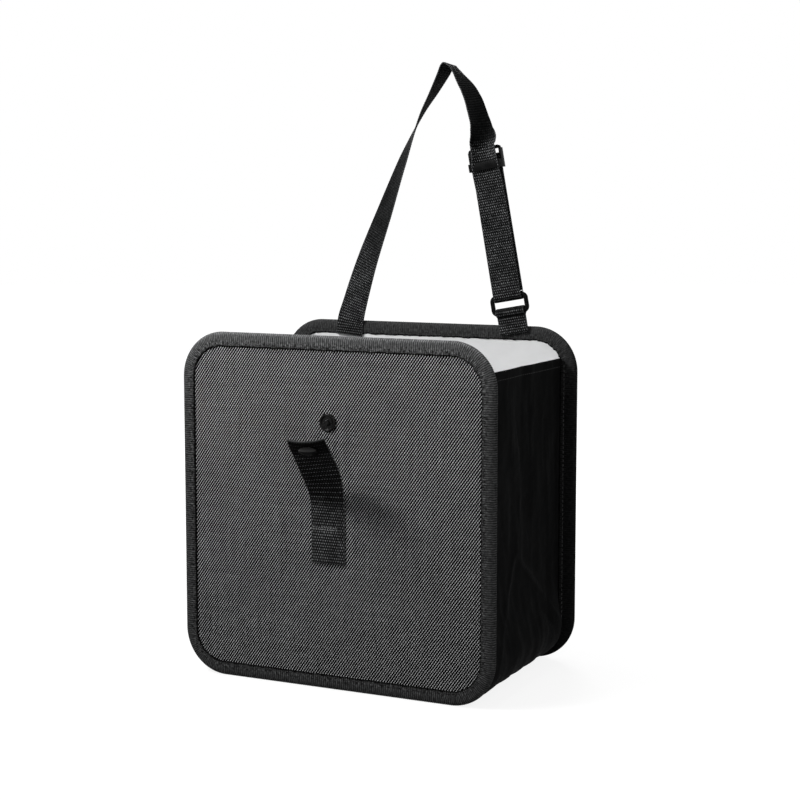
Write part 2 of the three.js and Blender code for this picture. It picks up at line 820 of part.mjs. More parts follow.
// Stud on the front panel, and the rivet through the panel that holds it
function addStud() {
  const bore = snapShankRadius + snapHoleClearance;
  const stud = turned([
    [0, studBoreDepth],
    [bore, studBoreDepth],
    [bore, 0],
    [studRadius - studRimWidth * 0.2, 0],
    [studRadius, studRimHeight * 0.3],
    [studRadius - studRimWidth * 0.15, studRimHeight * 0.85],
    [studRadius - studRimWidth * 0.5, studRimHeight],
    [studRadius - studRimWidth * 0.85, studRimHeight * 0.85],
    [studRadius - studRimWidth, studFloor],
    [studPostRadius * 0.9, studFloor],
    [studPostRadius * 0.85, studPostHeight * 0.55],
    [studPostRadius, studPostHeight * 0.75],
    [studPostRadius * 0.8, studPostHeight],
    [0, studPostHeight],
  ]);
  stud.rotateX(Math.PI);
  const studMesh = add("snap_stud", "snap", stud);
  studMesh.position.set(tabAcross, coverFace - layerGap, studHeight);
  const shankLength = stackThickness + 2 * layerGap + studBoreDepth / 2;
  const rivet = turned([
    [0, -rivetHeadHeight],
    [rivetHeadRadius * 0.85, -rivetHeadHeight],
    [rivetHeadRadius, 0],
    [snapShankRadius, 0],
    [snapShankRadius, shankLength],
    [0, shankLength],
  ]);
  rivet.rotateX(Math.PI);
  const rivetMesh = add("stud_rivet", "snap", rivet);
  rivetMesh.position.set(tabAcross, coverFace + stackThickness + layerGap, studHeight);
}

addPanel("front", -1, snapShankRadius + snapHoleClearance);
addPanel("back", 1, 0);
addGusset();
addStrap();
addTab();
addStud();

// The origin is under the middle of everything, on the surface it stands on
const box = new THREE.Box3().setFromObject(part, true);
part.position.set(-(box.min.x + box.max.x) / 2, -(box.min.y + box.max.y) / 2, -box.min.z);

export default part;
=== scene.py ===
"""Looks of the back seat organizer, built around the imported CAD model.

Sizes are in millimetres until a mesh is made, and the axes are the row frame's:
+Z up, +X across the panels, +Y towards the seat back.
"""

import math

import bpy
import numpy as np
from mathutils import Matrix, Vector


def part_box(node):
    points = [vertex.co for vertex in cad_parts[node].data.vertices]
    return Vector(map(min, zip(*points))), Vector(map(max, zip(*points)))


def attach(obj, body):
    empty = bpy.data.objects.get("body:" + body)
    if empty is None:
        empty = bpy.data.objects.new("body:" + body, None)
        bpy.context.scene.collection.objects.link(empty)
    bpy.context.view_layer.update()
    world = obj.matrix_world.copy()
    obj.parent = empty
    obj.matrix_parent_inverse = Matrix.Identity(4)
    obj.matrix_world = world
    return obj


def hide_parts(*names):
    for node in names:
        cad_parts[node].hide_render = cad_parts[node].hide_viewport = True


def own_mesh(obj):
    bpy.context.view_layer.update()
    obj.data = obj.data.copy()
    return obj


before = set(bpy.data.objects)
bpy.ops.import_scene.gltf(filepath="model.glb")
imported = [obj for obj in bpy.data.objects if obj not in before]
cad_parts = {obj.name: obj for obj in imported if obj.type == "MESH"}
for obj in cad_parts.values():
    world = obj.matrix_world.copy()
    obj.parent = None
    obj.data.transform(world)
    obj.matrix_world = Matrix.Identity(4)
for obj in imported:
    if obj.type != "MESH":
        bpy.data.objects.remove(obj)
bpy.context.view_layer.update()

MM = 0.001

# Sizes of the box, as in the part's source
PANEL_WIDTH = 250.0
PANEL_HEIGHT = 254.0
BAG_DEPTH = 157.0
CORNER_RADIUS = 33.4
COVER_THICKNESS = 1.0
BOARD_THICKNESS = 2.8
LINING_THICKNESS = 0.5
LAYER_GAP = 0.1
SEWN_GAP = 0.3
TAPE_THICKNESS = 1.15
TAPE_FACE = 10.5
PANEL_THICKNESS = 7.0
INNER_HALF = BAG_DEPTH / 2 - PANEL_THICKNESS
STACK_INSET = TAPE_THICKNESS + SEWN_GAP
SEAM_Y = INNER_HALF - SEWN_GAP

# How far the part's source is shifted along Y to stand over its own middle
SHIFT_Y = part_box("back_binding")[1].y / MM - BAG_DEPTH / 2

# Gusset
GUSSET_INSET = 12.0
GUSSET_THICKNESS = 0.9
GUSSET_TOP = PANEL_HEIGHT - 23.0
GUSSET_HEM = 8.0
GUSSET_HEM_RISE = 0.7
GUSSET_SAG = 8.6
GUSSET_SAG_RUN = 8.0
FRONT_SAG = 2.4
GUSSET_CREASE = 1.6
GUSSET_CREASE_WIDTH = 16.0
GUSSET_APEX = 88.0

# Strap
STRAP_WIDTH = 23.2
WEBBING = 1.3
STRAP_LEAN = math.radians(10.3)
STRAP_SEWN = 11.5
RING_LOOP_SEWN = 5.5
RING_WIRE = 3.4
RING_HEIGHT = 16.0
RING_SIDE_CLEARANCE = 0.5
RING_CORNER = 3.2
RING_ACROSS = PANEL_WIDTH / 2 - 53.0
RING_ABOVE = 16.5
TAIL_ABOVE_BAR = 2.4
SLIDER_ABOVE_RING = 111.0
SLIDER_LENGTH = 17.0
SLIDER_SIDE_CLEARANCE = 0.5
SLIDER_END_WIDTH = 2.0
SLIDER_FRONT_BAR = 6.0
SLIDER_TOP_BAR = 2.6
SLIDER_BAR_DEPTH = 1.9
SLIDER_CENTRE_BAR = 2.4
SLIDER_BAR_COVER = 0.4
SLIDER_SEWN = 14.0
STRAP_LEFT = 59.4 - PANEL_WIDTH / 2
STRAP_TOP_ACROSS = 19.6
STRAP_TOP_ABOVE = 196.8
STRAP_TOP_BACK = 2.4

# Tab and snap
TAB_WIDTH = 27.0
TAB_THICKNESS = 1.5
TAB_ACROSS = -3.8
TAB_BOTTOM = 92.0
TAB_FLAT = (31.6, 35.3)
TAB_LEAN = (math.radians(44.3), math.radians(49.5))
TAB_BEND = (28.6, 46.9)
TAB_SIDE_LEAN = 6.8
TAB_CUP = 2.6
TAB_CUP_LENGTH = 24.0
SNAP_FROM_END = 11.0
STUD_HEIGHT = 192.8
TAB_LENGTH = STUD_HEIGHT - TAB_BOTTOM + SNAP_FROM_END
COVER_FACE = -BAG_DEPTH / 2 + TAPE_THICKNESS + LAYER_GAP

# Half of the folded tape's section, from its inner edge to the rim: inset, and drop
# from the tape's face
TAPE_PROFILE = [
    (TAPE_FACE, 0.8), (TAPE_FACE - 0.25, 0.25), (TAPE_FACE - 0.9, 0.0), (TAPE_FACE - 1.6, 0.12),
    (TAPE_FACE - 2.6, -0.02), (6.2, -0.12), (4.4, -0.05), (3.0, 0.12), (1.9, 0.5), (0.95, 1.1),
    (0.35, 1.9), (0.05, 2.8),
]
TAPE_HALF = PANEL_THICKNESS / 2 - TAPE_PROFILE[-1][1] + sum(
    math.dist(a, b) for a, b in zip(TAPE_PROFILE, TAPE_PROFILE[1:]))

# Pitches of the cloths' threads and ribs
COVER_WARP = 1.053
COVER_WEFT = 1.439
TAPE_RIB = 1.62
STRAP_RIB = 2.0
TAB_RIB = 2.05

# How high the webbings' cords stand out, and radii of the sewing threads
STRAP_CORD = 0.16
TAB_CORD = 0.2
TAPE_STITCH = 0.27
HEM_STITCH = 0.24
SEAM_STITCH = 0.3
WEB_STITCH = 0.26


# Mesh helpers


def smoothstep(x, low, high):
    """0 at the low value and 1 at the high one, with a soft step between."""
    t = np.clip((np.asarray(x, float) - low) / (high - low), 0, 1)
    return t * t * (3 - 2 * t)


def waves(x, length, count=5, seed=0):
    """Smooth noise along a line, about -1 to 1, with that shortest wave length."""
    rng = np.random.default_rng(seed)
    x = np.asarray(x, float)
    total = np.zeros_like(x)
    for k in range(count):
        wave = length * (1 + 0.7 * k)
        total += np.sin(2 * np.pi * x / wave + rng.uniform(0, 2 * np.pi))
    return total / count**0.7


def waves2(x, y, length, count=9, seed=0, stretch=(1.0, 1.0)):
    """Smooth noise on a surface, about -1 to 1, stretched along either direction."""
    rng = np.random.default_rng(seed)
    total = np.zeros(np.broadcast(x, y).shape)
    for k in range(count):
        angle = rng.uniform(0, np.pi)
        wave = length * rng.uniform(0.9, 2.2)
        phase = rng.uniform(0, 2 * np.pi)
        along = x * math.cos(angle) / stretch[0] + y * math.sin(angle) / stretch[1]
        total += np.sin(2 * np.pi * along / wave + phase)
    return total / count**0.6


def link(name, data):
    """New object of the scene, with that data."""
    made = bpy.data.objects.new(name, data)
    bpy.context.scene.collection.objects.link(made)
    return made


def add_object(name, points, faces, uvs, material):
    """Mesh object from points in millimetres, faces, and one UV per face corner."""
    points = np.asarray(points, float)
    corners = points[[f[0] for f in faces]]
    volume = 0.0
    for k in range(1, 3):
        second = points[[f[k] for f in faces]]
        third = points[[f[min(k + 1, len(f) - 1)] for f in faces]]
        volume += np.einsum("ij,ij->", corners, np.cross(second, third))
    if volume < 0:
        faces = [tuple(reversed(f)) for f in faces]
        uvs = [list(reversed(c)) for c in uvs]
    mesh = bpy.data.meshes.new(name)
    mesh.from_pydata((points * MM).tolist(), [], faces)
    layer = mesh.uv_layers.new(name="cloth")
    flat = np.array([uv for face in uvs for uv in face], np.float32)
    layer.data.foreach_set("uv", flat.ravel())
    mesh.polygons.foreach_set("use_smooth", [True] * len(mesh.polygons))
    mesh.materials.append(material)
    mesh.validate()
    return link(name, mesh)


def mark(made, name, values):
    """Gives each point of a mesh a value that its material reads."""
    attribute = made.data.attributes.new(name, "FLOAT", "POINT")
    attribute.data.foreach_set("value", np.asarray(values, np.float32))


def grid_faces(rows, columns, closed_rows, closed_columns):
    """Quads of a grid of points, with the row and column of each corner."""
    faces, cells = [], []
    for i in range(rows if closed_rows else rows - 1):
        for j in range(columns if closed_columns else columns - 1):
            a, b = i % rows, (i + 1) % rows
            c, d = j % columns, (j + 1) % columns
            faces.append((
                a * columns + c, a * columns + d, b * columns + d, b * columns + c))
            cells.append(((i, j), (i, j + 1), (i + 1, j + 1), (i + 1, j)))
    return faces, cells


def add_sweep(name, grid, u, v, material, closed=False):
    """Solid from a closed section carried along a path. grid is stations by section
    points; u and v are millimetres along the path and round the section, one more
    than the points where that direction closes."""
    rows, columns = grid.shape[:2]
    faces, cells = grid_faces(rows, columns, closed, True)
    uvs = [[(u[i], v[j]) for i, j in cell] for cell in cells]
    if not closed:
        for row in (0, rows - 1):
            ring = [row * columns + j for j in range(columns)]
            faces.append(tuple(ring if row else reversed(ring)))
            order = range(columns) if row else reversed(range(columns))
            uvs.append([(u[row], v[j]) for j in order])
    return add_object(name, grid.reshape(-1, 3), faces, uvs, material)


def add_sheet(name, outer, inner, u, v, material):
    """Closed sheet between two matching grids of points."""
    rows, columns = outer.shape[:2]
    points = np.concatenate([outer.reshape(-1, 3), inner.reshape(-1, 3)])
    count = rows * columns
    faces, cells = grid_faces(rows, columns, False, False)
    uvs = [[(u[i], v[j]) for i, j in cell] for cell in cells]
    faces += [tuple(count + k for k in reversed(f)) for f in faces]
    uvs += [list(reversed(c)) for c in uvs]
    rim = [(i, 0) for i in range(rows)] + [(rows - 1, j) for j in range(1, columns)]
    rim += [(i, columns - 1) for i in range(rows - 2, -1, -1)]
    rim += [(0, j) for j in range(columns - 2, 0, -1)]
    for (i, j), (k, m) in zip(rim, rim[1:] + rim[:1]):
        a, b = i * columns + j, k * columns + m
        faces.append((a, b, count + b, count + a))
        uvs.append([(u[i], v[j]), (u[k], v[m]), (u[k], v[m]), (u[i], v[j])])
    return add_object(name, points, faces, uvs, material)


def lathe(name, profile, place, axis, material):
    """Turned piece: radius and height pairs, about an axis that starts at place."""
    steps = 72
    axis = np.array(axis, float) / np.linalg.norm(axis)
    side = np.cross(axis, (0, 0, 1.0) if abs(axis[2]) < 0.9 else (1.0, 0, 0))
    side /= np.linalg.norm(side)
    up = np.cross(axis, side)
    points, rings = [], []
    for radius, height in profile:
        base = np.array(place, float) + axis * height
        if radius < 1e-6:
            rings.append([len(points)])
            points.append(base)
            continue
        rings.append(list(range(len(points), len(points) + steps)))
        for k in range(steps):
            angle = 2 * math.pi * k / steps
            points.append(base + radius * (side * math.cos(angle) + up * math.sin(angle)))
    faces = []
    for low, high in zip(rings, rings[1:]):
        for k in range(steps):
            n = (k + 1) % steps
            if len(low) == 1:
                faces.append((low[0], high[n], high[k]))
            elif len(high) == 1:
                faces.append((low[k], low[n], high[0]))
            else:
                faces.append((low[k], low[n], high[n], high[k]))
    uvs = [[tuple((points[i] - place)[[0, 2]]) for i in f] for f in faces]
    return add_object(name, points, faces, uvs, material)


def resample(points, step):
    """Points spaced evenly along a polyline, with their distance along it."""
    points = np.asarray(points, float)
    lengths = np.r_[0, np.cumsum(np.linalg.norm(np.diff(points, axis=0), axis=1))]
    count = max(2, int(round(lengths[-1] / step)) + 1)
    at = np.linspace(0, lengths[-1], count)
    return np.stack([np.interp(at, lengths, points[:, k]) for k in range(3)], 1), at


def unit(v):
    return v / np.linalg.norm(v, axis=-1, keepdims=True)


def in_row(points):
    """Points of the part's source, moved to the row frame."""
    return np.asarray(points, float) + (0, SHIFT_Y, 0)


def stitches(name, starts, ends, outs, radius, material):
    """Row of thread stitches: a rounded bar from each start to each end, arched out.
    outs is one direction for all or one for each."""
    sides, rings = 6, 6
    starts, ends = np.asarray(starts, float), np.asarray(ends, float)
    outs = np.broadcast_to(np.asarray(outs, float), starts.shape)
    points, faces = [], []
    for start, end, out in zip(starts, ends, outs):
        along = unit(end - start)
        side = np.cross(along, out)
        base = len(points)
        for i in range(rings + 1):
            share = i / rings
            size = radius * max(0.12, math.sin(math.pi * share) ** 0.5)
            arch = radius * (math.sin(math.pi * share) - 0.35)
            centre = start + (end - start) * share + out * arch
            for k in range(sides):
                angle = 2 * math.pi * k / sides
                points.append(centre + size * (side * math.cos(angle) + out * math.sin(angle)))
        for i in range(rings):
            for k in range(sides):
                n = (k + 1) % sides
                a, b = base + i * sides, base + (i + 1) * sides
                faces.append((a + k, a + n, b + n, b + k))
        faces.append(tuple(base + k for k in reversed(range(sides))))
        faces.append(tuple(base + rings * sides + k for k in range(sides)))
    uvs = [[(0.0, 0.0)] * len(f) for f in faces]
    return add_object(name, points, faces, uvs, material)


# Materials


class Graph:
    """Builds one node tree: a new material's, or its owner's."""

    def __init__(self, name=None, owner=None):
        self.owner = owner or bpy.data.materials.new(name)
        self.owner.use_nodes = True
        self.tree = self.owner.node_tree
        self.tree.nodes.clear()

    def node(self, kind, **settings):
        made = self.tree.nodes.new(kind)
        for key, value in settings.items():
            setattr(made, key, value)
        return made

    def put(self, socket, value):
        if isinstance(value, bpy.types.NodeSocket):
            self.tree.links.new(value, socket)
        else:
            socket.default_value = value

    def shader(self, kind, **fixed):
        """Shader with numbers and colours set on its own sockets."""
        made = self.node(kind)
        for key, value in fixed.items():
            made.inputs[key.replace("_", " ")].default_value = value
        return made

    def math(self, operation, *values):
        made = self.node("ShaderNodeMath", operation=operation)
        for socket, value in zip(made.inputs, values):
            self.put(socket, value)
        return made.outputs[0]

    def times(self, value, *factors):
        for factor in factors:
            value = self.math("MULTIPLY", value, factor)
        return value

    def scaled(self, value, factor, shift):
        """The value times the factor, plus the shift."""
        return self.math("MULTIPLY_ADD", value, factor, shift)

    def wave(self, value, pitch):
        """1 at each multiple of the pitch, 0 half way between."""
        angle = self.scaled(value, 2 * math.pi / pitch, 0.0)
        return self.scaled(self.math("COSINE", angle), 0.5, 0.5)

    def remap(self, value, low, high, to_low, to_high):
        made = self.node("ShaderNodeMapRange")
        for socket, number in zip(made.inputs, (value, low, high, to_low, to_high)):
            self.put(socket, number)
        return made.outputs[0]

    def mask(self, value, low, high):
        """0 under the low value and 1 over the high one, with a soft step between."""
        made = self.node("ShaderNodeMapRange", interpolation_type="SMOOTHSTEP")
        for socket, number in zip(made.inputs, (value, low, high, 0.0, 1.0)):
            self.put(socket, number)
        return made.outputs[0]

    def noise(self, vector, scale, detail=2.0, roughness=0.5):
        made = self.node("ShaderNodeTexNoise")
        self.put(made.inputs["Vector"], vector)
        self.put(made.inputs["Scale"], scale)
        self.put(made.inputs["Detail"], detail)
        self.put(made.inputs["Roughness"], roughness)
        return made.outputs["Fac"]

    def stretched(self, vector, scale):
        made = self.node("ShaderNodeMapping")
        self.put(made.inputs["Vector"], vector)
        self.put(made.inputs["Scale"], scale)
        return made.outputs[0]

    def cloth(self):
        """Millimetres along and across the cloth."""
        uv = self.node("ShaderNodeUVMap", uv_map="cloth").outputs[0]
        along, across, _ = self.split(uv)
        return uv, along, across

    def split(self, vector):
        made = self.node("ShaderNodeSeparateXYZ")
        self.put(made.inputs[0], vector)
        return made.outputs

    def stored(self, name):
        """Value that mark() gave the mesh's points."""
        return self.node("ShaderNodeAttribute", attribute_name=name).outputs["Fac"]

    def seen(self):
        """1 for the rays that show the backdrop: camera, glossy and transmission."""
        rays = self.node("ShaderNodeLightPath").outputs
        seen = self.math("MAXIMUM", rays["Is Camera Ray"], rays["Is Glossy Ray"])
        return self.math("MAXIMUM", seen, rays["Is Transmission Ray"])

    def place(self):
        return self.node("ShaderNodeTexCoord").outputs["Object"]

    def grey(self, value, warmth=1.0):
        """Colour from a level, a little cooler where warmth is under 1."""
        made = self.node("ShaderNodeCombineColor")
        self.put(made.inputs[0], self.times(value, warmth))
        self.put(made.inputs[1], value)
        self.put(made.inputs[2], self.times(value, 2 - warmth))
        return made.outputs[0]

    def bump(self, height, distance, strength=1.0):
        made = self.node("ShaderNodeBump")
        self.put(made.inputs["Height"], height)
        self.put(made.inputs["Distance"], distance)
        self.put(made.inputs["Strength"], strength)
        return made.outputs[0]

    def finish(self, colour, roughness, normal, **fixed):
        shader = self.shader("ShaderNodeBsdfPrincipled", **fixed)
        self.put(shader.inputs["Base Color"], colour)
        self.put(shader.inputs["Roughness"], roughness)
        self.put(shader.inputs["Normal"], normal)
        return self.output("Material", shader)

    def output(self, kind, shader):
        out = self.node(f"ShaderNodeOutput{kind}")
        self.put(out.inputs[0], shader.outputs[0])
        return self.owner


def cover_material():
    """Coarse plain weave: pale yarn floats in a staggered lattice on near black."""
    g = Graph("cover_weave")
    uv, x, z = g.cloth()
    wobble = g.noise(g.stretched(uv, (0.05, 0.05, 1)), 1.0, 3.0)
    x = g.scaled(wobble, 0.9, x)
    wobble = g.noise(g.stretched(uv, (0.041, 0.047, 1)), 1.3, 3.0)
    z = g.scaled(wobble, 0.9, z)
    u = g.math("DIVIDE", x, COVER_WARP)
    v = g.math("DIVIDE", z, COVER_WEFT)
    rising = g.wave(g.math("SUBTRACT", u, v), 2.0)
    falling = g.wave(g.math("ADD", u, v), 2.0)
    yarn = g.times(rising, g.scaled(falling, 0.26, 0.74))
    warp = g.noise(g.stretched(uv, (0.9, 0.014, 1)), 1.0, 2.0)
    weft = g.noise(g.stretched(uv, (0.014, 0.7, 1)), 1.0, 2.0)
    threads = g.remap(g.math("ADD", warp, weft), 0.7, 1.3, 0.78, 1.22)
    cloudy = g.remap(g.noise(uv, 0.018, 3.0), 0.3, 0.7, 0.92, 1.08)
    fibre = g.remap(g.noise(uv, 3.4, 2.0), 0.3, 0.7, 0.7, 1.3)
    bright = g.mask(yarn, 0.62, 0.86)
    level = g.times(bright, threads, cloudy, fibre)
    level = g.scaled(level, 0.68, 0.001)
    return g.finish(
        g.grey(level, 0.99), 0.9, g.bump(yarn, 0.0003, 0.5), Specular_IOR_Level=0.01,
    )


def tape_material(name, base, contrast=1.0, pucker_shade=1.0, top_light=0.0):
    """Grosgrain: cords across the tape and fine warp threads over them. The tape is
    painted paler near the top and round its rim as painted light, with painted light
    and shade in blotches where it puckers and a painted shade along its inner edges."""
    g = Graph(name)
    uv, along, across = g.cloth()
    from_rim = g.math("ABSOLUTE", across)
    sway = g.noise(g.stretched(uv, (0.08, 0.3, 1)), 1.0, 2.0)
    rib = g.mask(g.wave(g.scaled(sway, 1.2, along), TAPE_RIB), 0.25, 0.9)
    warp = g.wave(across, 0.62)
    uneven = g.remap(g.noise(g.stretched(uv, (1.1, 0.3, 1)), 1.0, 3.0), 0.3, 0.7, 0.5, 1.5)
    cloudy = g.remap(g.noise(uv, 0.45, 4.0, 0.7), 0.3, 0.7, 0.6, 1.4)
    level = g.scaled(rib, 1.3 * contrast, 1 - 0.6 * contrast)
    level = g.times(level, g.scaled(warp, 0.4, 0.8), uneven, cloudy)
    # Painted light and shade: blotches near the inner edges, where the tape puckers.
    inner = g.mask(from_rim, 6.0, 9.5)
    painted_pucker_shade = g.noise(g.stretched(uv, (0.55, 0.45, 1)), 1.0, 3.0, 0.7)
    painted_pucker_shade = g.times(inner, g.times(g.remap(painted_pucker_shade, 0.38, 0.62, -0.85, 0.9), pucker_shade))
    level = g.times(level, g.math("ADD", painted_pucker_shade, 1.0))
    # Painted shade: a dark line along the tape's inner edges.
    edge = g.mask(from_rim, TAPE_HALF - 1.7, TAPE_HALF - 1.1)
    level = g.times(level, g.scaled(edge, -0.85, 1.0))
    # Painted light: the tape is made paler towards the top, by height.
    ramp = g.remap(g.split(g.place())[2], 0.2, 0.245, 1.0, 1.0 + top_light)
    # Painted highlight: the tape is made paler round its rim.
    rounded = g.math("SUBTRACT", 1.0, g.mask(from_rim, 2.2, 4.2))
    level = g.times(level, g.scaled(rounded, 0.7 * contrast, 1.0), ramp, base)
    height = g.scaled(warp, 0.15, rib)
    return g.finish(
        g.grey(level, 0.99), 0.9, g.bump(height, 0.0003, 0.4), Specular_IOR_Level=0.02,
    )


def webbing_material(name, base, pitch, column, half, spaced=None, fold_sheen_and_tip_start=None):
    """Webbing: staggered warp knots in rows, with a painted highlight along its
    selvedges. The knots are painted darker where the strap is turned away from the front,
    as painted shade; every other row fades past the spaced length, and past the length
    given for the tip the cloth is darker and smooth, with a paler end edge."""
    g = Graph(name)
    uv, along, across = g.cloth()
    wobble = g.noise(g.stretched(uv, (0.2, 0.2, 1)), 1.0, 2.0)
    swayed = g.scaled(wobble, 0.5, along)
    rib = g.wave(swayed, pitch)
    row = g.math("FLOOR", g.math("ADD", g.math("DIVIDE", swayed, pitch), 0.5))
    knot = g.wave(g.scaled(row, column / 2, across), column)
    dots = g.times(g.mask(rib, 0.25, 0.85), g.mask(knot, 0.35, 0.9))
    # Painted shade: the knots are dimmed where the strap faces away from the front.
    painted_front_light = g.scaled(g.mask(g.stored("facing"), 0.84, 0.995), 3.5, 0.35)
    level = g.scaled(dots, painted_front_light, 0.25)
    if spaced is not None:
        ramp = g.times(g.mask(along, spaced - 8, spaced + 8), 0.85)
        second = g.math("SUBTRACT", 1.0, g.wave(swayed, 2 * pitch))
        level = g.times(level, g.math("SUBTRACT", 1.0, g.times(ramp, second)))
    uneven = g.remap(g.noise(g.stretched(uv, (0.4, 0.5, 1)), 1.0, 3.0), 0.35, 0.65, 0.5, 1.5)
    patchy = g.remap(g.noise(uv, 0.07, 3.0), 0.35, 0.65, 0.7, 1.3)
    level = g.times(level, uneven, patchy)
    # Past the tip's length the cloth is made darker and smooth.
    if fold_sheen_and_tip_start is not None:
        dark_tip = g.mask(along, fold_sheen_and_tip_start - 3, fold_sheen_and_tip_start + 3)
        level = g.times(level, g.scaled(dark_tip, -0.8, 1.0))
        # The tab's end edge is made paler.
        pale_end = g.mask(along, TAB_LENGTH - 0.9, TAB_LENGTH - 0.3)
        level = g.scaled(pale_end, 1.2, level)
    # Painted highlight: the selvedges are made paler.
    painted_selvedge_light = g.mask(g.math("ABSOLUTE", across), half - 0.8, half - 0.2)
    level = g.scaled(painted_selvedge_light, 1.4, level)
    level = g.times(level, base)
    height = g.scaled(knot, 0.4, rib)
    return g.finish(
        g.grey(level, 0.98), 0.8, g.bump(height, 0.0004, 0.6), Specular_IOR_Level=0.02,
    )


def nylon_material():
    """Fine black plain weave, with a painted highlight along its sharp folds."""
    g = Graph("gusset_nylon")
    uv, along, across = g.cloth()
    weave = g.math("ADD", g.wave(along, 0.55), g.wave(across, 0.55))
    creased = g.noise(g.stretched(uv, (0.02, 0.09, 1)), 1.0, 5.0, 0.6)
    # Painted highlight: a sheen along the folds' crests.
    fold_sheen_and_tip_start = g.stored("fold")
    fleck = g.remap(g.noise(uv, 0.5, 3.0, 0.6), 0.35, 0.7, 0.4, 1.3)
    level = g.scaled(g.mask(creased, 0.5, 0.7), 0.008, 0.01)
    level = g.scaled(g.times(fold_sheen_and_tip_start, fleck), 0.026, level)
    level = g.times(level, g.scaled(weave, 0.25, 0.75))
    height = g.scaled(creased, 2.5, g.times(weave, 0.2))
    return g.finish(
        g.grey(level, 0.98), 0.75, g.bump(height, 0.0003, 0.5), Specular_IOR_Level=0.006,
    )


def lining_material():
    """Pale grey coated cloth: a faint weave under a smooth film, softly creased."""
    g = Graph("lining_film")
    uv, along, across = g.cloth()
    weave = g.math("ADD", g.wave(along, 0.8), g.wave(across, 0.8))
    soft = g.noise(g.stretched(uv, (0.03, 0.05, 1)), 1.0, 4.0, 0.55)
    level = g.remap(soft, 0.3, 0.7, 0.7, 0.78)
    level = g.times(level, g.scaled(weave, 0.02, 0.97))
    height = g.scaled(soft, 4.0, g.times(weave, 0.15))
    return g.finish(
        g.grey(level, 0.995), g.remap(soft, 0.3, 0.7, 0.42, 0.58),
        g.bump(height, 0.0003, 0.35), Specular_IOR_Level=0.4,
    )


def plastic_material():
    """Black moulded plastic with a faint grain."""
    g = Graph("moulded_plastic")
    at = g.place()
    grain = g.noise(at, 2600.0, 3.0)
    broad = g.noise(at, 180.0, 3.0)
    level = g.remap(broad, 0.35, 0.7, 0.004, 0.008)
    rough = g.remap(g.math("ADD", grain, broad), 0.7, 1.3, 0.24, 0.4)
    return g.finish(
        g.grey(level, 0.99), rough, g.bump(grain, 0.00008, 0.35), Specular_IOR_Level=0.03,
    )


def snap_material():
    """Black enamelled snap metal, lightly scuffed."""
    g = Graph("snap_enamel")
    at = g.place()
    scuff = g.noise(at, 700.0, 5.0, 0.65)
    level = g.remap(scuff, 0.35, 0.75, 0.002, 0.006)
    rough = g.remap(scuff, 0.3, 0.75, 0.08, 0.2)
    return g.finish(
        g.grey(level, 0.99), rough, g.bump(scuff, 0.00005, 0.2), Specular_IOR_Level=0.12,
    )


def thread_material(name, level):
    g = Graph(name)
    at = g.place()
    twist = g.noise(at, 2400.0, 2.0)
    shade = g.remap(twist, 0.3, 0.7, level * 0.6, level * 1.3)
    return g.finish(g.grey(shade, 0.99), 0.7, g.bump(twist, 0.0001, 0.5), Specular_IOR_Level=0.3)


def board_material():
    g = Graph("fibre_board")
    at = g.place()
    fibre = g.noise(at, 900.0, 4.0, 0.6)
    level = g.remap(fibre, 0.3, 0.7, 0.16, 0.24)
    return g.finish(g.grey(level, 1.06), 0.9, g.bump(fibre, 0.0001, 0.5))


COVER = cover_material()
FRONT_TAPE = tape_material("front_grosgrain", 0.056, 0.75, 1.0, 0.6)
BACK_TAPE = tape_material("back_grosgrain", 0.015, 0.3, 0.4, 1.4)
STRAP_WEB = webbing_material("strap_webbing", 0.03, STRAP_RIB, 1.7, STRAP_WIDTH / 2)
TAB_WEB = webbing_material(
    "tab_webbing", 0.052, TAB_RIB, 1.85, TAB_WIDTH / 2, spaced=42.0, fold_sheen_and_tip_start=TAB_LENGTH - 17)
NYLON = nylon_material()
LINING = lining_material()
PLASTIC = plastic_material()
SNAP = snap_material()
DARK_THREAD = thread_material("dark_thread", 0.02)
PALE_THREAD = thread_material("pale_thread", 0.3)
BOARD = board_material()


def dress(made, body, slot, *nodes):
    """Rides a piece on its body and hides the nodes it stands for; the finish's slot is not used.
    """
    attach(made, body)
    if nodes:
        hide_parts(*nodes)
    return made


# Panels


def walk(s, corner, along, legs, radius):
    """Points and outward directions on an outline of straight legs, with a quarter turn
    to the left after each, from distances along it."""
    corner, along = np.array(corner, float), np.array(along, float)
    out, begin = np.array([along[1], -along[0]]), 0.0
    places, outs = np.zeros((2, len(s))), np.zeros((2, len(s)))
    for leg in legs:
        straight = (s >= begin) & (s <= begin + leg + 1e-9)
        places[:, straight] = corner[:, None] + np.outer(along, s[straight] - begin)
        outs[:, straight] = out[:, None]
        begin, corner = begin + leg, corner + along * leg
        end = begin + math.pi * radius / 2
        turning = (s > begin) & (s < end)
        angle = (s[turning] - begin) / radius
        outs[:, turning] = np.outer(out, np.cos(angle)) + np.outer(along, np.sin(angle))
        places[:, turning] = (corner - out * radius)[:, None] + radius * outs[:, turning]
        corner, along, out, begin = corner + (along - out) * radius, -out, along, end
    return *places, *outs


RIM_LENGTH = 2 * (PANEL_WIDTH + PANEL_HEIGHT) - (8 - 2 * math.pi) * CORNER_RADIUS


def rim(s):
    """Points and outward directions round a panel's outline, from distances along it.
    Starts at the middle of the lower edge and runs towards +X."""
    across, up = PANEL_WIDTH - 2 * CORNER_RADIUS, PANEL_HEIGHT - 2 * CORNER_RADIUS
    legs = [across / 2, up, across, up, across / 2]
    return walk(np.asarray(s, float) % RIM_LENGTH, (0, 0), (1, 0), legs, CORNER_RADIUS)


def corner_share(s):
    """1 in the middle of a panel's corners and 0 on its straight edges."""
    _, _, nx, nz = rim(s)
    return smoothstep(np.minimum(abs(nx), abs(nz)), 0.02, 0.4)


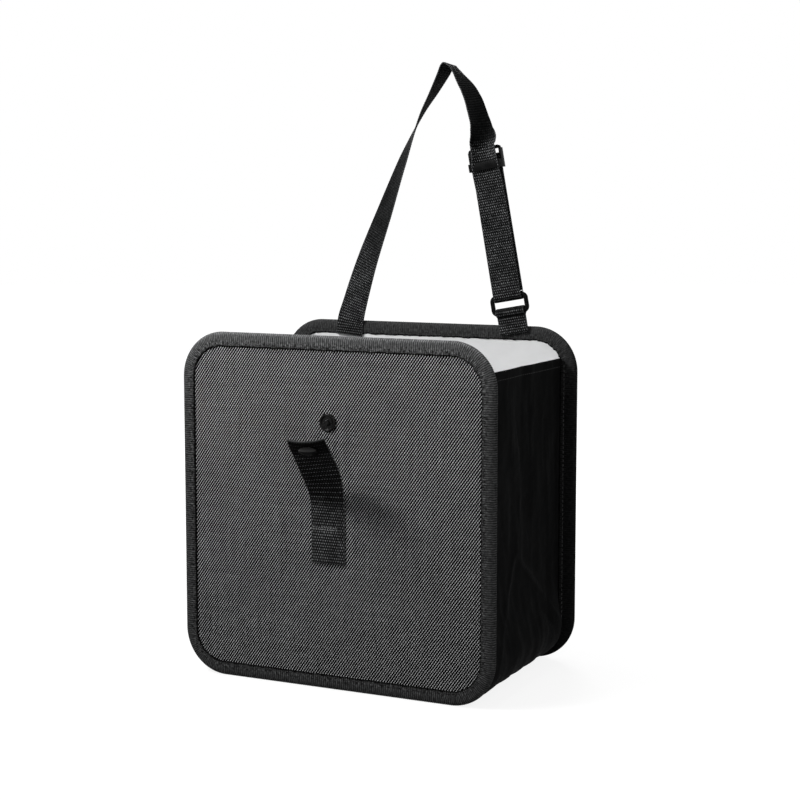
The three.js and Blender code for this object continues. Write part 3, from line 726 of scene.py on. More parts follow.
def add_plate(name, y_out, y_in, out, relief, material, hole=False):
    """Cloth plate of a panel's outline, over the whole panel or, with a hole for the
    stud's shank, up to it. relief(x, z) raises its outer face."""
    stations = 300
    s = np.linspace(0, RIM_LENGTH, stations, endpoint=False)
    x, z, nx, nz = rim(s)
    x, z = x - nx * STACK_INSET, z - nz * STACK_INSET
    shares = np.r_[np.linspace(1, 0.9, 9), np.linspace(0.88, 0.03, 44)]
    if not hole:
        shares = np.r_[shares, 0.01, 0.002]
    middle = np.array([TAB_ACROSS, STUD_HEIGHT]) if hole else np.array([0, PANEL_HEIGHT / 2])
    grid = np.zeros((len(shares), stations, 3))
    for i, share in enumerate(shares):
        gx = middle[0] + (x - middle[0]) * share
        gz = middle[1] + (z - middle[1]) * share
        edge = smoothstep(1 - share, 0.0, 0.03)
        grid[i, :, 0], grid[i, :, 2] = gx, gz
        grid[i, :, 1] = y_out + out * relief(gx, gz) * edge
    flat = grid[[0, -1]].copy()
    flat[:, :, 1] = y_in
    loop = np.concatenate([flat[1:], flat[:1], grid])
    rows, columns = loop.shape[:2]
    faces, _ = grid_faces(rows, columns, hole, True)
    points = in_row(loop.reshape(-1, 3))
    if not hole:
        faces.append(tuple(range(columns)))
        faces.append(tuple((rows - 1) * columns + j for j in reversed(range(columns))))
    uvs = [[(points[k][0], points[k][2]) for k in f] for f in faces]
    return add_object(name, points, faces, uvs, material)


def cover_relief(x, z):
    return 0.12 + 0.1 * waves2(x, z, 60, seed=3) + 0.04 * waves2(x, z, 17, seed=4)


def lining_relief(x, z):
    soft = 0.16 + 0.13 * waves2(x, z, 46, seed=5, stretch=(1, 1.6))
    return soft + 0.05 * waves2(x, z, 14, seed=6)


def add_binding(name, side, material, seed):
    """Grosgrain tape folded over a panel's edge: crowned faces, ribs, puckers where it
    turns the corners, and a row of stitches on each face."""
    body = "front_panel" if side < 0 else "back_panel"
    ribs = round(RIM_LENGTH / TAPE_RIB)
    stations = ribs * 3
    s = np.linspace(0, RIM_LENGTH, stations, endpoint=False)
    x, z, nx, nz = rim(s)
    half = PANEL_THICKNESS / 2
    groove = half - TAPE_THICKNESS
    front = [(inset, half - drop, 1) for inset, drop in TAPE_PROFILE]
    back = [(inset, drop - half, -1) for inset, drop in reversed(TAPE_PROFILE)]
    inside = [
        (TAPE_FACE, -groove, 0), (TAPE_THICKNESS, -groove, 0),
        (TAPE_THICKNESS, groove, 0), (TAPE_FACE, groove, 0),
    ]
    section = front + back + inside
    rib = np.cos(2 * np.pi * s / RIM_LENGTH * ribs)
    bend = corner_share(s)
    columns = []
    travelled = [0.0]
    for k, (inset, depth, face) in enumerate(section):
        near_edge = smoothstep(inset, 4.5, TAPE_FACE - 1.2) if face else 0.0
        pleats = np.sin(2 * np.pi * s / 5.6 + 1.3 * waves(s, 11, seed=seed + 1))
        puckers = waves(s, 5.0, 6, seed=seed + (2 if face > 0 else 3))
        lift = near_edge * (0.26 * puckers + bend * 0.34 * pleats)
        crown = 0.1 * waves(s, 26, 5, seed=seed + 5)
        ridge = 0.07 * rib if face else 0.0
        ragged = 0.0
        if face and inset > TAPE_FACE - 1.0:
            ragged = 0.35 * waves(s, 4.2, 6, seed=seed + (7 if face > 0 else 8))
        outer = 1.0 if face and inset < 3.5 else 0.0
        true_inset = inset - ridge * outer + ragged - 0.12 * outer * (0.5 + 0.5 * crown)
        true_depth = depth + face * (ridge * (1 - 0.6 * outer) + lift + crown * near_edge)
        columns.append(np.stack([
            x - nx * true_inset,
            np.full_like(s, side * (BAG_DEPTH / 2 - half)) + true_depth,
            z - nz * true_inset,
        ], 1))
        following = section[(k + 1) % len(section)]
        travelled.append(travelled[-1] + math.hypot(inset - following[0], depth - following[1]))
    grid = in_row(np.stack(columns, 1))
    u = np.linspace(0, ribs * TAPE_RIB, stations + 1)
    from_rim = np.array(travelled) - TAPE_HALF
    made = add_sweep(name, grid, u, from_rim, material, closed=True)
    dress(made, body, "binding_tape", "front_binding" if side < 0 else "back_binding")
    pitch = 3.1
    count = round(RIM_LENGTH / pitch)
    at = np.arange(count) * RIM_LENGTH / count
    rng = np.random.default_rng(seed)
    inset = TAPE_FACE - 1.6 + 0.35 * waves(at, 14, seed=seed + 9)
    length = pitch * rng.uniform(0.62, 0.8, count)
    for face in (1, -1):
        ends = []
        for shift in (0.0, 1.0):
            px, pz, ox, oz = rim(at + shift * length)
            depth = side * (BAG_DEPTH / 2 - half) + face * (half - 0.08)
            ends.append(in_row(np.stack(
                [px - ox * inset, np.full_like(px, depth), pz - oz * inset], 1)))
        label = "front" if face < 0 else "back"
        row = stitches(f"{name}_stitches_{label}", *ends, (0, face, 0), TAPE_STITCH, DARK_THREAD)
        dress(row, body, "binding_tape")
    return made


def add_panel(side):
    """Cover and lining of one panel, and its board's finish. The board stays as the frame has it.
    """
    prefix = "front" if side < 0 else "back"
    body = f"{prefix}_panel"
    outside = side * (BAG_DEPTH / 2 - TAPE_THICKNESS - LAYER_GAP)
    inside = outside - side * COVER_THICKNESS
    cover = add_plate(
        f"{prefix}_cover_fabric", outside, inside, side, cover_relief, COVER, hole=side < 0)
    dress(cover, body, "cover_fabric", f"{prefix}_cover")
    deep = inside - side * (2 * LAYER_GAP + BOARD_THICKNESS)
    lining = add_plate(
        f"{prefix}_lining_cloth", deep - side * LINING_THICKNESS, deep, -side,
        lining_relief, LINING, hole=side < 0)
    dress(lining, body, "lining_film", f"{prefix}_lining")
    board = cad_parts[f"{prefix}_board"]
    board.data.materials.clear()
    board.data.materials.append(BOARD)


add_panel(-1)
add_panel(1)
add_binding("front_tape", -1, FRONT_TAPE, 11)
add_binding("back_tape", 1, BACK_TAPE, 23)


# Gusset


def gusset_path(step=2.0):
    """Stations down the left side, under the bag and up the right side: distance along,
    place and outward direction."""
    half, radius = PANEL_WIDTH / 2 - GUSSET_INSET, CORNER_RADIUS - GUSSET_INSET
    side, bottom = GUSSET_TOP - CORNER_RADIUS, 2 * (half - radius)
    total = 2 * side + math.pi * radius + bottom
    s = np.linspace(0, total, int(total / step) + 1)
    return s, *walk(s, (-half, GUSSET_TOP), (0, -1), [side, bottom, side], radius)


# Creases of one side, as depth and height of both ends, with their rise and width
CREASES = [
    ((-15, 203), (1, 149), -1.0, 5.0),
    ((-24, 220), (-20, 175), 0.5, 3.5),
    ((8, 222), (12, 160), -0.6, 4.0),
    ((-13, 97.6), (-34, 57), 1.5, 3.2),
    ((-13, 97.6), (37, 60), 1.5, 3.2),
    ((-34, 57), (-60, 26), 0.9, 4.0),
    ((46, 52), (66, 30), 0.8, 3.0),
    ((30, 47), (58, 20), -0.8, 4.0),
    ((-48, 19.4), (40, 18.5), 0.9, 3.0),
    ((-50, 150), (-30, 96), -0.6, 5.0),
    ((44, 170), (52, 96), 0.6, 6.0),
    ((0, 149), (-10, 100), 0.7, 4.0),
]


def on_side(x):
    """1 on the gusset's sides and 0 under the bag."""
    return smoothstep(abs(x), 85, 112)


def near_creases(y, z):
    """Each crease's rise and width, and the share along it and distance from it."""
    for (y0, z0), (y1, z1), height, width in CREASES:
        dy, dz = y1 - y0, z1 - z0
        t = np.clip(((y - y0) * dy + (z - z0) * dz) / (dy * dy + dz * dz), 0, 1)
        yield height, width, t, np.hypot(y - y0 - dy * t, z - z0 - dz * t)


def creases(y, z):
    """Rise of the cloth along its sharp folds."""
    rise = np.zeros(np.broadcast(y, z).shape)
    for height, width, t, away in near_creases(y, z):
        top_light = np.sin(np.pi * (0.12 + 0.76 * t))
        rise += height * top_light * np.exp(-((away / width) ** 1.4))
    return rise


def mark_folds(made, x, z, y):
    """Marks the outer face's points with how sharply the cloth is folded there, where the gusset's
    material paints a highlight.
    """
    x, z = x[:, None], z[:, None]
    ridges = np.zeros((len(x), len(y)))
    for height, _, t, away in near_creases(np.where(x > 0, y, -y), z):
        top_light = np.sin(np.pi * (0.1 + 0.8 * t))
        ridges = np.maximum(ridges, abs(height) / 1.5 * top_light * np.exp(-((away / 1.1) ** 2)))
    values = np.zeros(len(made.data.vertices))
    values[:ridges.size] = (ridges * on_side(x)).ravel()
    mark(made, "fold", values)


def gusset_rise(s, x, z, y):
    """How far the gusset stands out from its seams, over stations and depths."""
    s, x, z, y = s[:, None], x[:, None], z[:, None], y[None, :]
    from_seam = INNER_HALF - abs(y)
    low = smoothstep(z, GUSSET_INSET, CORNER_RADIUS * 2.2)
    run = smoothstep(from_seam, 0, np.where(y < 0, GUSSET_SAG_RUN * 0.6, GUSSET_SAG_RUN))
    sag = GUSSET_SAG + FRONT_SAG * smoothstep(-y, -40, 62)
    rise = sag * (1 - low) * run
    middle = np.maximum(0, 1 - abs(y) / GUSSET_CREASE_WIDTH)
    above = smoothstep(z, GUSSET_APEX * 0.8, PANEL_HEIGHT * 0.6)
    rise = rise - GUSSET_CREASE * middle * above
    hold = smoothstep(from_seam, 0, 9) * (0.35 + 0.65 * smoothstep(GUSSET_TOP - z, 0, 30))
    sided = np.where(x > 0, y, -y)
    folds = creases(sided, z) * on_side(x)
    long_ = 0.55 * waves2(s, y, 16, 9, seed=31, stretch=(3.4, 1.0))
    short = 0.22 * waves2(s, y, 8, 9, seed=32, stretch=(1.6, 1.0))
    puckers = 0.3 * waves(s, 6, 6, seed=33) * np.exp(-from_seam / 4.0)
    return rise + hold * (folds + long_ + short) + puckers * smoothstep(from_seam, 0, 2)


def gusset_layer(outer_depth, inner_depth, hem):
    """Outer and inner grid of a layer of the gusset, in the row frame, with the
    stations' distances and depths. hem is how far its folded top edge stands out."""
    s, x, z, nx, nz = gusset_path()
    y = np.linspace(-SEAM_Y, SEAM_Y, 77)
    rise = gusset_rise(s, x, z, y)
    hemmed = smoothstep(z, GUSSET_TOP - GUSSET_HEM - 0.4, GUSSET_TOP - GUSSET_HEM + 0.4)
    grids = []
    for depth, extra in ((outer_depth, hem), (inner_depth, 0.0)):
        shift = rise - depth + (extra * hemmed)[:, None]
        grid = np.zeros((len(s), len(y), 3))
        grid[:, :, 0] = x[:, None] + nx[:, None] * shift
        grid[:, :, 1] = y[None, :]
        grid[:, :, 2] = z[:, None] + nz[:, None] * shift
        grids.append(in_row(grid))
    return grids, s, y


def fold_with_box(made):
    """Gives the piece its own copy of its mesh."""
    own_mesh(made)


def add_gusset():
    (outer, inner), s, y = gusset_layer(0.0, GUSSET_THICKNESS, GUSSET_HEM_RISE)
    cloth = add_sheet("gusset_cloth", outer, inner, s, y, NYLON)
    _, x, z, _, _ = gusset_path()
    mark_folds(cloth, x, z, y)
    dress(cloth, "back_panel", "gusset_fabric", "gusset")
    start = GUSSET_THICKNESS + 2 * LAYER_GAP
    (outer, inner), s, y = gusset_layer(start, start + LINING_THICKNESS, 0.0)
    lining = add_sheet("gusset_lining_cloth", outer, inner, s, y, LINING)
    dress(lining, "back_panel", "lining_film", "gusset_lining")
    add_hem_stitches()
    fold_with_box(cloth)
    fold_with_box(lining)


def add_hem_stitches():
    """Row of stitches along the gusset's top hem, on both sides."""
    (outer, _), s, y = gusset_layer(0.0, GUSSET_THICKNESS, GUSSET_HEM_RISE)
    pitch, length = 3.0, 2.1
    at = np.arange(-SEAM_Y + 2, SEAM_Y - 4, pitch)
    for label, row, sign in (("left", 3, -1), ("right", len(s) - 4, 1)):
        starts, ends = (
            np.stack([np.interp(d, y, outer[row][:, k]) for k in range(3)], 1)
            for d in (at, at + length))
        made = stitches(
            f"gusset_hem_stitches_{label}", starts, ends, (sign, 0, 0), HEM_STITCH,
            DARK_THREAD)
        dress(made, "back_panel", "gusset_fabric")
        fold_with_box(made)


def add_seam(name, side, body):
    """Turned seam where the gusset is sewn to a panel's binding: a narrow raised lip."""
    s, x, z, nx, nz = gusset_path(1.2)
    keep = z < GUSSET_TOP - 0.5
    s, x, z, nx, nz = s[keep], x[keep], z[keep], nx[keep], nz[keep]
    section = [
        (-1.4, -0.85), (0.9, -0.85), (1.0, 0.0), (1.9, 0.0), (2.5, 0.12), (2.75, 0.5), (2.4, 0.95),
        (1.5, 1.1), (0.75, 0.95), (0.7, 0.22), (-1.4, 0.22),
    ]
    wobble = 0.22 * waves(s, 7, 6, seed=41 + side)
    columns = []
    for out, depth in section:
        y = side * (INNER_HALF - 0.05 - depth)
        lip = out + wobble * (out > 1.2)
        columns.append(np.stack([x + nx * lip, np.full_like(x, y), z + nz * lip], 1))
    grid = in_row(np.stack(columns, 1))
    v = np.linspace(0, 9, len(section) + 1)
    made = add_sweep(name, grid, s, v, SEAM_TAPE)
    return dress(made, body, "gusset_fabric")


def add_seam_stitches():
    """Row of pale stitches along the lip of the back seam, on both sides of the box."""
    s, x, z, _, _ = gusset_path(0.5)
    pitch, length = 3.4, 2.5
    lip, depth = 2.95, INNER_HALF - 0.7
    for label, sign in (("left", -1), ("right", 1)):
        side = (np.sign(x) == sign) & (z > CORNER_RADIUS) & (z < GUSSET_TOP - 3)
        at = np.arange(s[side].min(), s[side].max() - pitch, pitch)
        starts, ends = (
            in_row(np.stack([
                np.interp(d, s, x) + sign * lip, np.full_like(d, depth), np.interp(d, s, z)], 1))
            for d in (at, at + length))
        made = stitches(
            f"gusset_seam_stitches_{label}", starts, ends, (sign, 0, 0), SEAM_STITCH,
            SEAM_THREAD)
        dress(made, "back_panel", "gusset_fabric")


SEAM_THREAD = thread_material("seam_thread", 0.06)
SEAM_TAPE = tape_material("seam_tape", 0.02, 0.4, 0.0)
add_gusset()
add_seam("gusset_seam_back", 1, "back_panel")
add_seam("gusset_seam_front", -1, "front_panel")
add_seam_stitches()


# Strap

EYE_RADIUS = RING_WIRE / 2 + SEWN_GAP + WEBBING / 2
EYE_SLACK = 0.8
RING_BAR_Y = INNER_HALF - WEBBING - LAYER_GAP
STRAP_Y = RING_BAR_Y - EYE_RADIUS
TAIL_Y = RING_BAR_Y + EYE_RADIUS
RING_BAR = (RING_HEIGHT - RING_WIRE) / 2
STRAIGHT_TOP = SLIDER_ABOVE_RING + SLIDER_LENGTH / 2 + 1
WEBBING_CLEAR = WEBBING / 2 + SEWN_GAP
SLIDER_EYE = SLIDER_CENTRE_BAR / 2 + SEWN_GAP + WEBBING
SLIDER_BAR_Y = STRAP_Y + WEBBING_CLEAR + SLIDER_EYE


def in_strap(x, y, z):
    """Points of the leaning frame that ring, doubled webbing and slider share."""
    c, s = math.cos(STRAP_LEAN), math.sin(STRAP_LEAN)
    x, y, z = np.broadcast_arrays(np.asarray(x, float), y, z)
    return np.stack([
        RING_ACROSS + x * c - z * s, y, PANEL_HEIGHT + RING_ABOVE + x * s + z * c], -1)


FRAME_ACROSS = np.array([math.cos(STRAP_LEAN), 0, math.sin(STRAP_LEAN)])


def webbing_section(width, thickness, faces=9):
    """Closed outline across a webbing, with rounded selvedges: across and normal."""
    half, r = width / 2, thickness / 2
    points = []
    for side in (1, -1):
        for k in range(5):
            angle = math.pi / 2 - math.pi * k / 4
            points.append((side * (half - r + r * math.cos(angle)), side * r * math.sin(angle)))
        for k in range(1, faces):
            points.append((side * (half - r) * (1 - 2 * k / faces), -side * r))
    return points


def add_webbing(name, centres, across, width, thickness, material, pitch, cup=0.0):
    """Webbing swept along its middle line, with its cords as real ribs. across is its
    width direction, one for all stations or one each, and cup the angle in radians that
    its section is curled by."""
    centres, across = np.asarray(centres, float), unit(np.asarray(across, float))
    along = unit(np.gradient(centres, axis=0))
    normal = unit(np.cross(along, across))
    s = np.r_[0, np.cumsum(np.linalg.norm(np.diff(centres, axis=0), axis=1))]
    columns, v = [], []
    for a, n in webbing_section(width, thickness):
        face = abs(n) / (thickness / 2)
        edge = 1 - face
        ridge = STRAP_CORD * (0.5 + 0.5 * np.cos(2 * np.pi * s / pitch)) - STRAP_CORD
        bulge = ridge * face * np.sign(n)
        out = edge * 0.5 * ridge * np.sign(a)
        curl = np.maximum(cup, 1e-4) + np.zeros(len(s))
        radius = width / curl
        angle = (a + out) / radius
        reach = (radius + n + bulge) * np.sin(angle)
        lift = radius - (radius + n + bulge) * np.cos(angle)
        columns.append(centres + across * reach[:, None] - normal * lift[:, None])
        v.append(a)
    v.append(v[0])
    made = add_sweep(name, np.stack(columns, 1), s, v, material)
    # How squarely the strap faces front or back, by which its material paints the knots darker
    # where it turns away: painted shade.
    mark(made, "facing", np.repeat(abs(normal[:, 1]), len(columns)))
    return made


def catmull_rom(points, per_segment=40):
    """Centripetal curve through the points."""
    points = np.asarray(points, float)
    ends = np.concatenate([[2 * points[0] - points[1]], points, [2 * points[-1] - points[-2]]])
    curve = []
    for k in range(len(points) - 1):
        p0, p1, p2, p3 = ends[k:k + 4]
        d0, d1, d2 = (np.linalg.norm(b - a) ** 0.5 for a, b in ((p0, p1), (p1, p2), (p2, p3)))
        t1 = ((p1 - p0) / d0 - (p2 - p0) / (d0 + d1) + (p2 - p1) / d1) * d1
        t2 = ((p2 - p1) / d1 - (p3 - p1) / (d1 + d2) + (p3 - p2) / d2) * d1
        c2 = -3 * p1 + 3 * p2 - 2 * t1 - t2
        c3 = 2 * p1 - 2 * p2 + t1 + t2
        for t in np.arange(per_segment) / per_segment:
            curve.append(p1 + t1 * t + c2 * t * t + c3 * t**3)
    curve.append(points[-1])
    return np.array(curve)


RIGHT_SHAPE = [
    (0.05, 0.145), (0.115, 0.331), (0.276, 0.517), (0.468, 0.671), (0.664, 0.817),
    (0.827, 0.932),
]
LEFT_SHAPE = [
    (0.941, 0.964), (0.843, 0.892), (0.728, 0.811), (0.548, 0.64), (0.365, 0.437),
    (0.183, 0.234), (0.061, 0.071),
]
RIGHT_TWIST = [
    (0, 0), (0.08, 35), (0.193, 62), (0.323, 72), (0.517, 76), (0.76, 84), (0.922, 97)]
LEFT_TWIST = [
    (0.005, 0), (0.056, 8), (0.234, 21), (0.437, 35), (0.64, 51), (0.818, 72), (0.976, 90)]

RIGHT_CURL = [
    (-0.5, 0), (-0.28, 50), (-0.1, 110), (0, 115), (0.11, 110), (0.23, 74), (0.36, 40),
    (0.7, 20), (0.9, 0),
]
RIGHT_PUSH = [
    (-0.3, 0), (-0.1, 1.4), (0, 1.4), (0.09, 0.0), (0.2, -1.7), (0.33, -2.0), (0.45, -1.7),
    (0.56, -0.8), (0.68, 0),
]

LOOP_TOP = np.array([
    STRAP_TOP_ACROSS, INNER_HALF + STRAP_TOP_BACK, PANEL_HEIGHT + STRAP_TOP_ABOVE])
LOOP_START = in_strap(0, STRAP_Y, STRAIGHT_TOP)
LEFT_Y = INNER_HALF - LAYER_GAP - WEBBING / 2
LEFT_FOOT = np.array([STRAP_LEFT, LEFT_Y, PANEL_HEIGHT])


def loop_points():
    """The loop from the slider's top, over its highest point, to the sewn left end."""
    def between(start, across, up):
        middle = float(smoothstep(up, 0, 1))
        return start + (LOOP_TOP - start) * np.array([across, middle, up])

    crest = np.array([WEBBING * 1.5, 0, 0])
    drop = np.array([0, 0, WEBBING * 0.9])
    return [
        LOOP_START,
        *[between(LOOP_START, a, b) for a, b in RIGHT_SHAPE],
        LOOP_TOP + crest - drop,
        LOOP_TOP,
        LOOP_TOP - crest - drop,
        *[between(LEFT_FOOT, a, b) for a, b in LEFT_SHAPE],
        LEFT_FOOT + (WEBBING, 0, LAYER_GAP),
        LEFT_FOOT - (0, 0, STRAP_SEWN),
    ]


def strap_line():
    """Middle line, width direction and curl of the hanging strap, in the part's frame."""
    bend = np.linspace(0, math.pi, 13)
    foot = in_strap(0, TAIL_Y, np.linspace(RING_BAR + TAIL_ABOVE_BAR, RING_BAR, 4)[:-1])
    drop = (EYE_RADIUS + EYE_SLACK) * np.sin(bend)
    eye = in_strap(0, RING_BAR_Y + EYE_RADIUS * np.cos(bend), RING_BAR - drop)
    straight = in_strap(0, STRAP_Y, np.linspace(RING_BAR + 1, STRAIGHT_TOP - 0.5, 60))
    line = np.concatenate([foot, eye, straight, catmull_rom(loop_points())])
    line, s = resample(line, STRAP_RIB / 4)
    along = np.gradient(line, axis=0)
    level = unit(np.stack([along[:, 2], 0 * s, -along[:, 0]], 1))
    on_right = line[:, 0] > STRAP_TOP_ACROSS
    up_right, up_left = (
        (line[:, 2] - start[2]) / (LOOP_TOP[2] - start[2]) for start in (LOOP_START, LEFT_FOOT))
    turn = np.where(
        on_right, np.interp(up_right, *zip(*RIGHT_TWIST)), np.interp(up_left, *zip(*LEFT_TWIST)))
    kernel = np.hanning(27)
    padded = np.pad(turn, 13, mode="edge")
    turn = np.radians(np.convolve(padded, kernel / kernel.sum(), "valid"))[:, None]
    across = level * np.cos(turn) + np.array([0, 1.0, 0]) * np.sin(turn)
    doubled = on_right & (line[:, 2] < LOOP_START[2])
    across = np.where(doubled[:, None], FRAME_ACROSS, across)
    curl = np.radians(np.interp(up_right, *zip(*RIGHT_CURL))) * on_right
    push = np.interp(up_right, *zip(*RIGHT_PUSH)) * on_right
    return line + FRAME_ACROSS * push[:, None], across, curl


def add_hanging_strap():
    line, across, curl = strap_line()
    made = add_webbing(
        "strap_webbing_long", in_row(line), across, STRAP_WIDTH, WEBBING, STRAP_WEB, STRAP_RIB,
        cup=curl)
    dress(made, "back_panel", "webbing", "hanging_strap")


def add_tail():
    bottom = RING_BAR + TAIL_ABOVE_BAR + SEWN_GAP
    top = SLIDER_ABOVE_RING - SLIDER_SEWN - 0.05
    top_y = SLIDER_BAR_Y + WEBBING / 2
    share = np.linspace(0, 1, int((top - bottom) / (STRAP_RIB / 4)) + 1)
    line = in_strap(0, TAIL_Y + (top_y - TAIL_Y) * share, bottom + (top - bottom) * share)
    made = add_webbing(
        "strap_webbing_tail", in_row(line), FRAME_ACROSS, STRAP_WIDTH, WEBBING, STRAP_WEB,
        STRAP_RIB)
    dress(made, "back_panel", "webbing", "strap_tail")
    anchor = Vector(in_row(in_strap(0, TAIL_Y, bottom)) * MM)
    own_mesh(made)


def eye_line(bar_radius, tongue, slack):
    """Webbing from a tongue's foot, round a bar at the origin and back: Y and Z. The
    eye stands off the bar by the slack at its far side."""
    r = bar_radius + SEWN_GAP + WEBBING / 2
    touch = WEBBING / 2 + 0.02
    join = math.acos(touch / r)
    up = [(touch, z) for z in np.linspace(-tongue, -r * math.sin(join) - 1.6, 24)]
    round_ = [
        (r * math.cos(a), r * math.sin(a) + slack * max(0.0, math.sin(a)))
        for a in np.linspace(-join, math.pi + join, 40)]
    down = [(-y, z) for y, z in reversed(up)]
    return np.array(up + round_ + down)


def add_eye(name, bar_radius, tongue, slack, y, z, body, *nodes):
    """Webbing sewn round a bar of the strap frame, at depth y and height z."""
    yz = eye_line(bar_radius, tongue, slack)
    line = in_strap(0, y + yz[:, 0], z + yz[:, 1])
    line, _ = resample(line, STRAP_RIB / 5)
    made = add_webbing(
        name, in_row(line), FRAME_ACROSS, STRAP_WIDTH, WEBBING, STRAP_WEB, STRAP_RIB)
    return dress(made, body, "webbing", *nodes)


def cross_stitches(name, y, z, out, body, rows):
    """Rows of stitches across a webbing of the strap frame, at heights above z."""
    pitch, length = 2.4, 1.8
    across = np.arange(-STRAP_WIDTH / 2 + length, STRAP_WIDTH / 2 - pitch, pitch)
    starts, ends = (
        [in_row(in_strap(a + shift, y, z + row)) for row in rows for a in across]
        for shift in (0, length))
    made = stitches(name, starts, ends, (0, out, 0), WEB_STITCH, DARK_THREAD)
    dress(made, body, "webbing")


def add_ring():
    """Wire ring of rounded rectangular shape."""
    wire = RING_WIRE / 2
    half_width = STRAP_WIDTH / 2 + RING_SIDE_CLEARANCE + wire
    centres, outs = [], []
    for cx, cz, turn in (
        (half_width - RING_CORNER, RING_BAR - RING_CORNER, 0),
        (-half_width + RING_CORNER, RING_BAR - RING_CORNER, 1),
        (-half_width + RING_CORNER, -RING_BAR + RING_CORNER, 2),
        (half_width - RING_CORNER, -RING_BAR + RING_CORNER, 3),
    ):
        for k in range(13):
            angle = (turn + k / 12) * math.pi / 2
            out = (math.cos(angle), math.sin(angle))
            centres.append((cx + RING_CORNER * out[0], cz + RING_CORNER * out[1]))
            outs.append(out)
    columns = []
    for k in range(20):
        angle = 2 * math.pi * k / 20
        d, y = wire * math.cos(angle), wire * math.sin(angle)
        columns.append([
            in_strap(x + ox * d, RING_BAR_Y + y, z + oz * d)
            for (x, z), (ox, oz) in zip(centres, outs)])
    grid = in_row(np.array(columns).transpose(1, 0, 2))
    u = np.linspace(0, 80, len(centres) + 1)
    made = add_sweep("ring_moulded", grid, u, np.linspace(0, 10, 21), PLASTIC, closed=True)
    dress(made, "back_panel", "hardware_plastic", "ring")


def prism(outline, front, back):
    """Solid of an outline of the strap frame, across and along, between two depths."""
    corners = [
        tuple(in_row(in_strap(x, y, z)) * MM) for y in (front, back) for x, z in outline]
    count = len(outline)
    faces = [tuple(range(count)), tuple(reversed(range(count, 2 * count)))]
    for k in range(count):
        n = (k + 1) % count
        faces.append((n, k, count + k, count + n))
    mesh = bpy.data.meshes.new("prism")
    mesh.from_pydata(corners, [], faces)
    return link("prism", mesh)


def block(low, high):
    """Box in the strap frame between two corners: across, deep and along."""
    outline = [(low[0], low[2]), (high[0], low[2]), (high[0], high[2]), (low[0], high[2])]
    return prism(outline, low[1], high[1])


def shouldered(half_width, low, high, radius):
    """Outline of a bar whose two upper corners are rounded."""
    turns = np.linspace(0, math.pi / 2, 7)
    right = [(half_width - radius * (1 - math.cos(a)), high - radius * (1 - math.sin(a)))
             for a in turns]
    left = [(-x, z) for x, z in reversed(right)]
    return [(-half_width, low), (half_width, low), *right, *left]


def merged(blocks, width, segments):
    """Union of the blocks, its edges rounded, as one mesh on the first block."""
    made = blocks[0]
    for other in blocks[1:]:
        union = made.modifiers.new("union", "BOOLEAN")
        union.operation, union.object, union.solver = "UNION", other, "EXACT"
    bevel = made.modifiers.new("bevel", "BEVEL")
    bevel.width, bevel.segments, bevel.limit_method = width * MM, segments, "ANGLE"
    bevel.angle_limit = math.radians(40)
    graph = bpy.context.evaluated_depsgraph_get()
    mesh = bpy.data.meshes.new_from_object(made.evaluated_get(graph))
    made.modifiers.clear()
    made.data = mesh
    for other in blocks[1:]:
        bpy.data.objects.remove(other)
    mesh.polygons.foreach_set("use_smooth", [True] * len(mesh.polygons))
    mesh.set_sharp_from_angle(angle=math.radians(50))
    mesh.materials.clear()
    return made


# The moulded slider is a little slimmer than its solid
MOULDED_CLEARANCE = SLIDER_SIDE_CLEARANCE * 0.7
MOULDED_END_WIDTH = SLIDER_END_WIDTH * 0.65
MOULDED_CENTRE_BAR = SLIDER_CENTRE_BAR * 0.92
SHOULDER = SLIDER_TOP_BAR * 0.9
MOULDED_EDGE = 0.6


def add_slider():
    """Moulded slider: ends, a broad bar before the webbing, and two bars behind it."""
    inner = STRAP_WIDTH / 2 + MOULDED_CLEARANCE
    outer = inner + MOULDED_END_WIDTH
    front = STRAP_Y - WEBBING_CLEAR - SLIDER_BAR_DEPTH
    back = SLIDER_BAR_Y + SLIDER_CENTRE_BAR / 2 + SLIDER_BAR_COVER
    foot, top = SLIDER_ABOVE_RING - SLIDER_LENGTH / 2, SLIDER_ABOVE_RING + SLIDER_LENGTH / 2
    bar_top = foot + SLIDER_FRONT_BAR
    hair = 0.01  # keeps the blocks' faces apart for their union
    blocks = []
    for low, high in ((-outer, -inner), (inner, outer)):
        blocks.append(block((low, STRAP_Y, foot), (high, back, top - SHOULDER)))
        blocks.append(block(
            (low + hair, front, foot + hair), (high - hair, back - hair, bar_top)))
    reach = outer - 2 * hair
    blocks.append(block(
        (-reach, front + hair, foot + 2 * hair), (reach, front + SLIDER_BAR_DEPTH, bar_top - hair)))
    behind = STRAP_Y + WEBBING_CLEAR
    bar = shouldered(reach, top - SLIDER_TOP_BAR, top - hair, SHOULDER)
    blocks.append(prism(bar, behind, behind + SLIDER_BAR_DEPTH))
    half = MOULDED_CENTRE_BAR / 2
    blocks.append(block(
        (-reach, SLIDER_BAR_Y - half, SLIDER_ABOVE_RING - half),
        (reach, SLIDER_BAR_Y + half, SLIDER_ABOVE_RING + half)))
    made = merged(blocks, MOULDED_EDGE, 3)
    made.name = "slider_moulded"
    made.data.materials.append(PLASTIC)
    dress(made, "strap_slider", "hardware_plastic", "slider")


